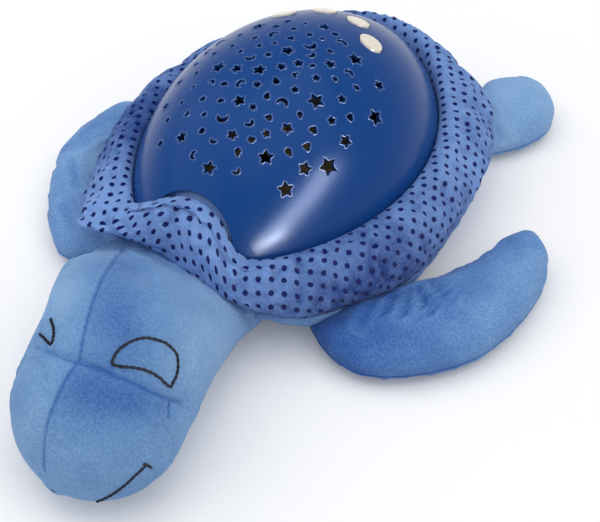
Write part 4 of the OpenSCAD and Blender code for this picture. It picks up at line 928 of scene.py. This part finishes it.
# Patches painted dark (above 0) or pale on the side that the camera sees, partly nap and partly painted
# shade and light: how strongly, then the pixel of the image and how many pixels it reaches in x and y.
# The first four stay on the right of the centre seam
NAP_SHADE_RIGHT = [(0.27, 118, 300, 30, 48), (0.24, 135, 330, 40, 34), (0.44, 92, 392, 42, 32),
                 (0.34, 150, 402, 34, 18)]
NAP_SHADE = [(0.1, 95, 440, 60, 50), (-0.26, 215, 325, 50, 60), (-0.34, 60, 300, 24, 60),
           (-0.16, 35, 410, 30, 50)]
ix, iy = pixels_of(H)
line = np.array(CENTRE_SEAM, float)
right_of = smooth(0, 1.5, ix - np.interp(iy, line[:, 1], line[:, 0]))


def patch_sum(patches):
    """Sum of the patches, each falling off round its middle."""
    return sum(k * np.exp(-((ix - x) / rx)**2 - ((iy - y) / ry)**2) for k, x, y, rx, ry in patches)


nap_and_shade = patch_sum(NAP_SHADE_RIGHT) * right_of + patch_sum(NAP_SHADE)
# Painted on the head: the patches, and painted shade in the seams' grooves
paint(head, "nap_and_shade", nap_and_shade * smooth(-0.1, 0.25, HN @ BACK) + 0.4 * seam_groove)
dress(head, "head")


# ------------------------------------------------------------------ thread
def thread(name, path, radius, material, wave=0.35, wave_len=2.6, sides=8):
    """Line of stitches: a thin tube along a path that is pinched once a stitch."""
    path = np.asarray(path, float)
    d = np.gradient(path, axis=0)
    d /= np.maximum(np.linalg.norm(d, axis=1, keepdims=True), 1e-9)
    s = np.cross(d, [0.3, -0.5, 0.8])
    s /= np.linalg.norm(s, axis=1, keepdims=True)
    u = np.cross(s, d)
    run = lengths(path)
    r = radius * (1 - wave * np.abs(np.cos(np.pi * run / wave_len))**3)
    r = r * np.minimum(1, 0.35 + np.minimum(run, run[-1] - run) / radius)
    ang = np.linspace(0, 2 * np.pi, sides, endpoint=False)
    ring = np.cos(ang)[:, None] * s[:, None] + np.sin(ang)[:, None] * u[:, None]
    Q = path[:, None] + r[:, None, None] * ring
    dress(grid_object(name, Q, material, None, (True, True)), None)


HEAD_TREE = tree_of(H)


def embroidered(name, pixels, radius):
    """Stitched line on the head, through these pixels as the camera sees it."""
    path = []
    for p in densify(hits(pixels, HEAD_TREE), 0.6):
        near, normal, _, _ = HEAD_TREE.find_nearest(Vector(p))
        near, normal = np.array(near), np.array(normal)
        if normal @ (near - INSIDE_HEAD) < 0:
            normal = -normal
        path.append(near + normal * radius * 0.35)
    thread(name, path, radius, M["thread"])


# Stitched lines of the face, as pixels of the image
EYES = {
    "eye_left_lid": [(112, 365), (113.5, 358), (121, 348), (134, 341), (151, 338.6), (166, 343.5),
                     (175.5, 353), (177.8, 364), (176, 376), (169.8, 388)],
    "eye_left_lower": [(112, 365), (121, 366.5), (131, 367.5), (141.7, 369.4), (152, 373),
                       (160, 378.5), (169.6, 387)],
    "eye_right_lower": [(39.5, 334), (43, 337), (47, 340.8), (51, 345)],
    "eye_right_lid": [(51, 345), (53.4, 338), (53.8, 331), (52.8, 325), (51, 319)],
}
SMILE = {
    "smile_line": [(96, 501), (105, 498), (119, 489.5), (133.5, 477), (141, 470), (147, 464)],
    "smile_tick": [(143, 463.6), (147, 465), (152, 468)],
}
for lines, radius in ((EYES, 0.72), (SMILE, 0.66)):
    for name, pixels in lines.items():
        embroidered(name, pixels, radius)
deg = np.degrees(phi)
# The collar's thread shows from the far front round to the near rear, in degrees from +X
front = np.nonzero((deg > -128) & (deg < 62))[0]
front = front[np.argsort(deg[front])]
line = P[seam_row, front] - 0.25 * N[seam_row, front]
thread("collar_seam", line, 0.42, M["seam_thread"], wave=0.5, wave_len=3.0, sides=6)

# ------------------------------------------------------------------ floor and light
def camera_like(k, low, high):
    """A strength that is high where the camera sees it, also in reflections and through glass, and
    low as a source of light."""
    path = k.add("ShaderNodeLightPath").outputs
    seen = k.math("MAXIMUM", path["Is Camera Ray"], path["Is Glossy Ray"])
    seen = k.math("MAXIMUM", seen, path["Is Transmission Ray"])
    return k.math("ADD", low, k.math("MULTIPLY", seen, high - low))


k = Nodes("floor")
k.t.nodes.remove(k.p)
paper = k.add("ShaderNodeBsdfDiffuse", {"Color": (0.86, 0.86, 0.865, 1.0)})
glow = k.add("ShaderNodeEmission", {"Color": (1.0, 1.0, 1.0, 1.0), "Strength": camera_like(k, 0.0, 0.1)})
both = k.add("ShaderNodeAddShader", {0: paper.outputs[0], 1: glow.outputs[0]})
k.t.links.new(both.outputs[0], k.t.nodes["Material Output"].inputs["Surface"])
FLOOR_HALF = 6
me = bpy.data.meshes.new("floor")
corners = ((-1, -1), (1, -1), (1, 1), (-1, 1))
me.from_pydata([(FLOOR_HALF * x, FLOOR_HALF * y, 0) for x, y in corners], [], [(0, 1, 2, 3)])
me.materials.append(k.m)
floor = new_object("floor", me)


def toward(az, el):
    """Direction at this azimuth, measured from -Y towards +X, and elevation, in degrees."""
    a, e = math.radians(az), math.radians(el)
    return Vector((math.sin(a) * math.cos(e), -math.cos(a) * math.cos(e), math.sin(e)))


def strip(name, start, end, dist, width, power, diffuse=True, gloss=True):
    """Long area lamp between two directions, each an azimuth and an elevation. It looks at the toy."""
    a, b = toward(*start) * dist, toward(*end) * dist
    x, z = (b - a).normalized(), ((a + b) / 2).normalized()
    y = z.cross(x)
    data = bpy.data.lights.new(name, "AREA")
    data.shape, data.size, data.size_y, data.energy = "RECTANGLE", (b - a).length, width, power
    ob = new_object(name, data)
    turn = Matrix((x, y, z)).transposed().to_4x4()
    ob.matrix_world = Matrix.Translation((a + b) / 2 + Vector((0, 0.02, 0.04))) @ turn
    ob.visible_diffuse, ob.visible_glossy = diffuse, gloss


strip("key", (70, 60), (230, 60), 2.4, 2.4, 21)
strip("fill", (-110, 32), (-15, 32), 2.2, 1.3, 10)
strip("right", (62, 36), (120, 36), 2.2, 1.2, 6, gloss=False)
strip("side", (50, 9.5), (97, 35), 1.3, 0.28, 35, diffuse=False)
strip("glint", (46, 6), (60, 11), 1.3, 0.13, 16, diffuse=False)

world = bpy.data.worlds.new("studio")
bpy.context.scene.world = world
world.use_nodes = True
w = Nodes("studio", world.node_tree)
w.t.nodes["Background"].inputs["Color"].default_value = (0.97, 0.985, 1.0, 1.0)
sky = w.add("ShaderNodeTexCoord").outputs["Generated"]
height = w.math("ABSOLUTE", w.vec("DOT_PRODUCT", sky, (0.0, 0.0, 1.0)))
# Pale all round, and brighter near the horizon
low = w.math("POWER", w.math("SUBTRACT", 1.0, height), 5.0)
strength = w.math("ADD", 0.5, w.math("MULTIPLY", 0.35, low))
w.t.links.new(strength, w.t.nodes["Background"].inputs["Strength"])

bpy.context.scene.view_settings.view_transform = "Standard"

bpy.context.view_layer.update()
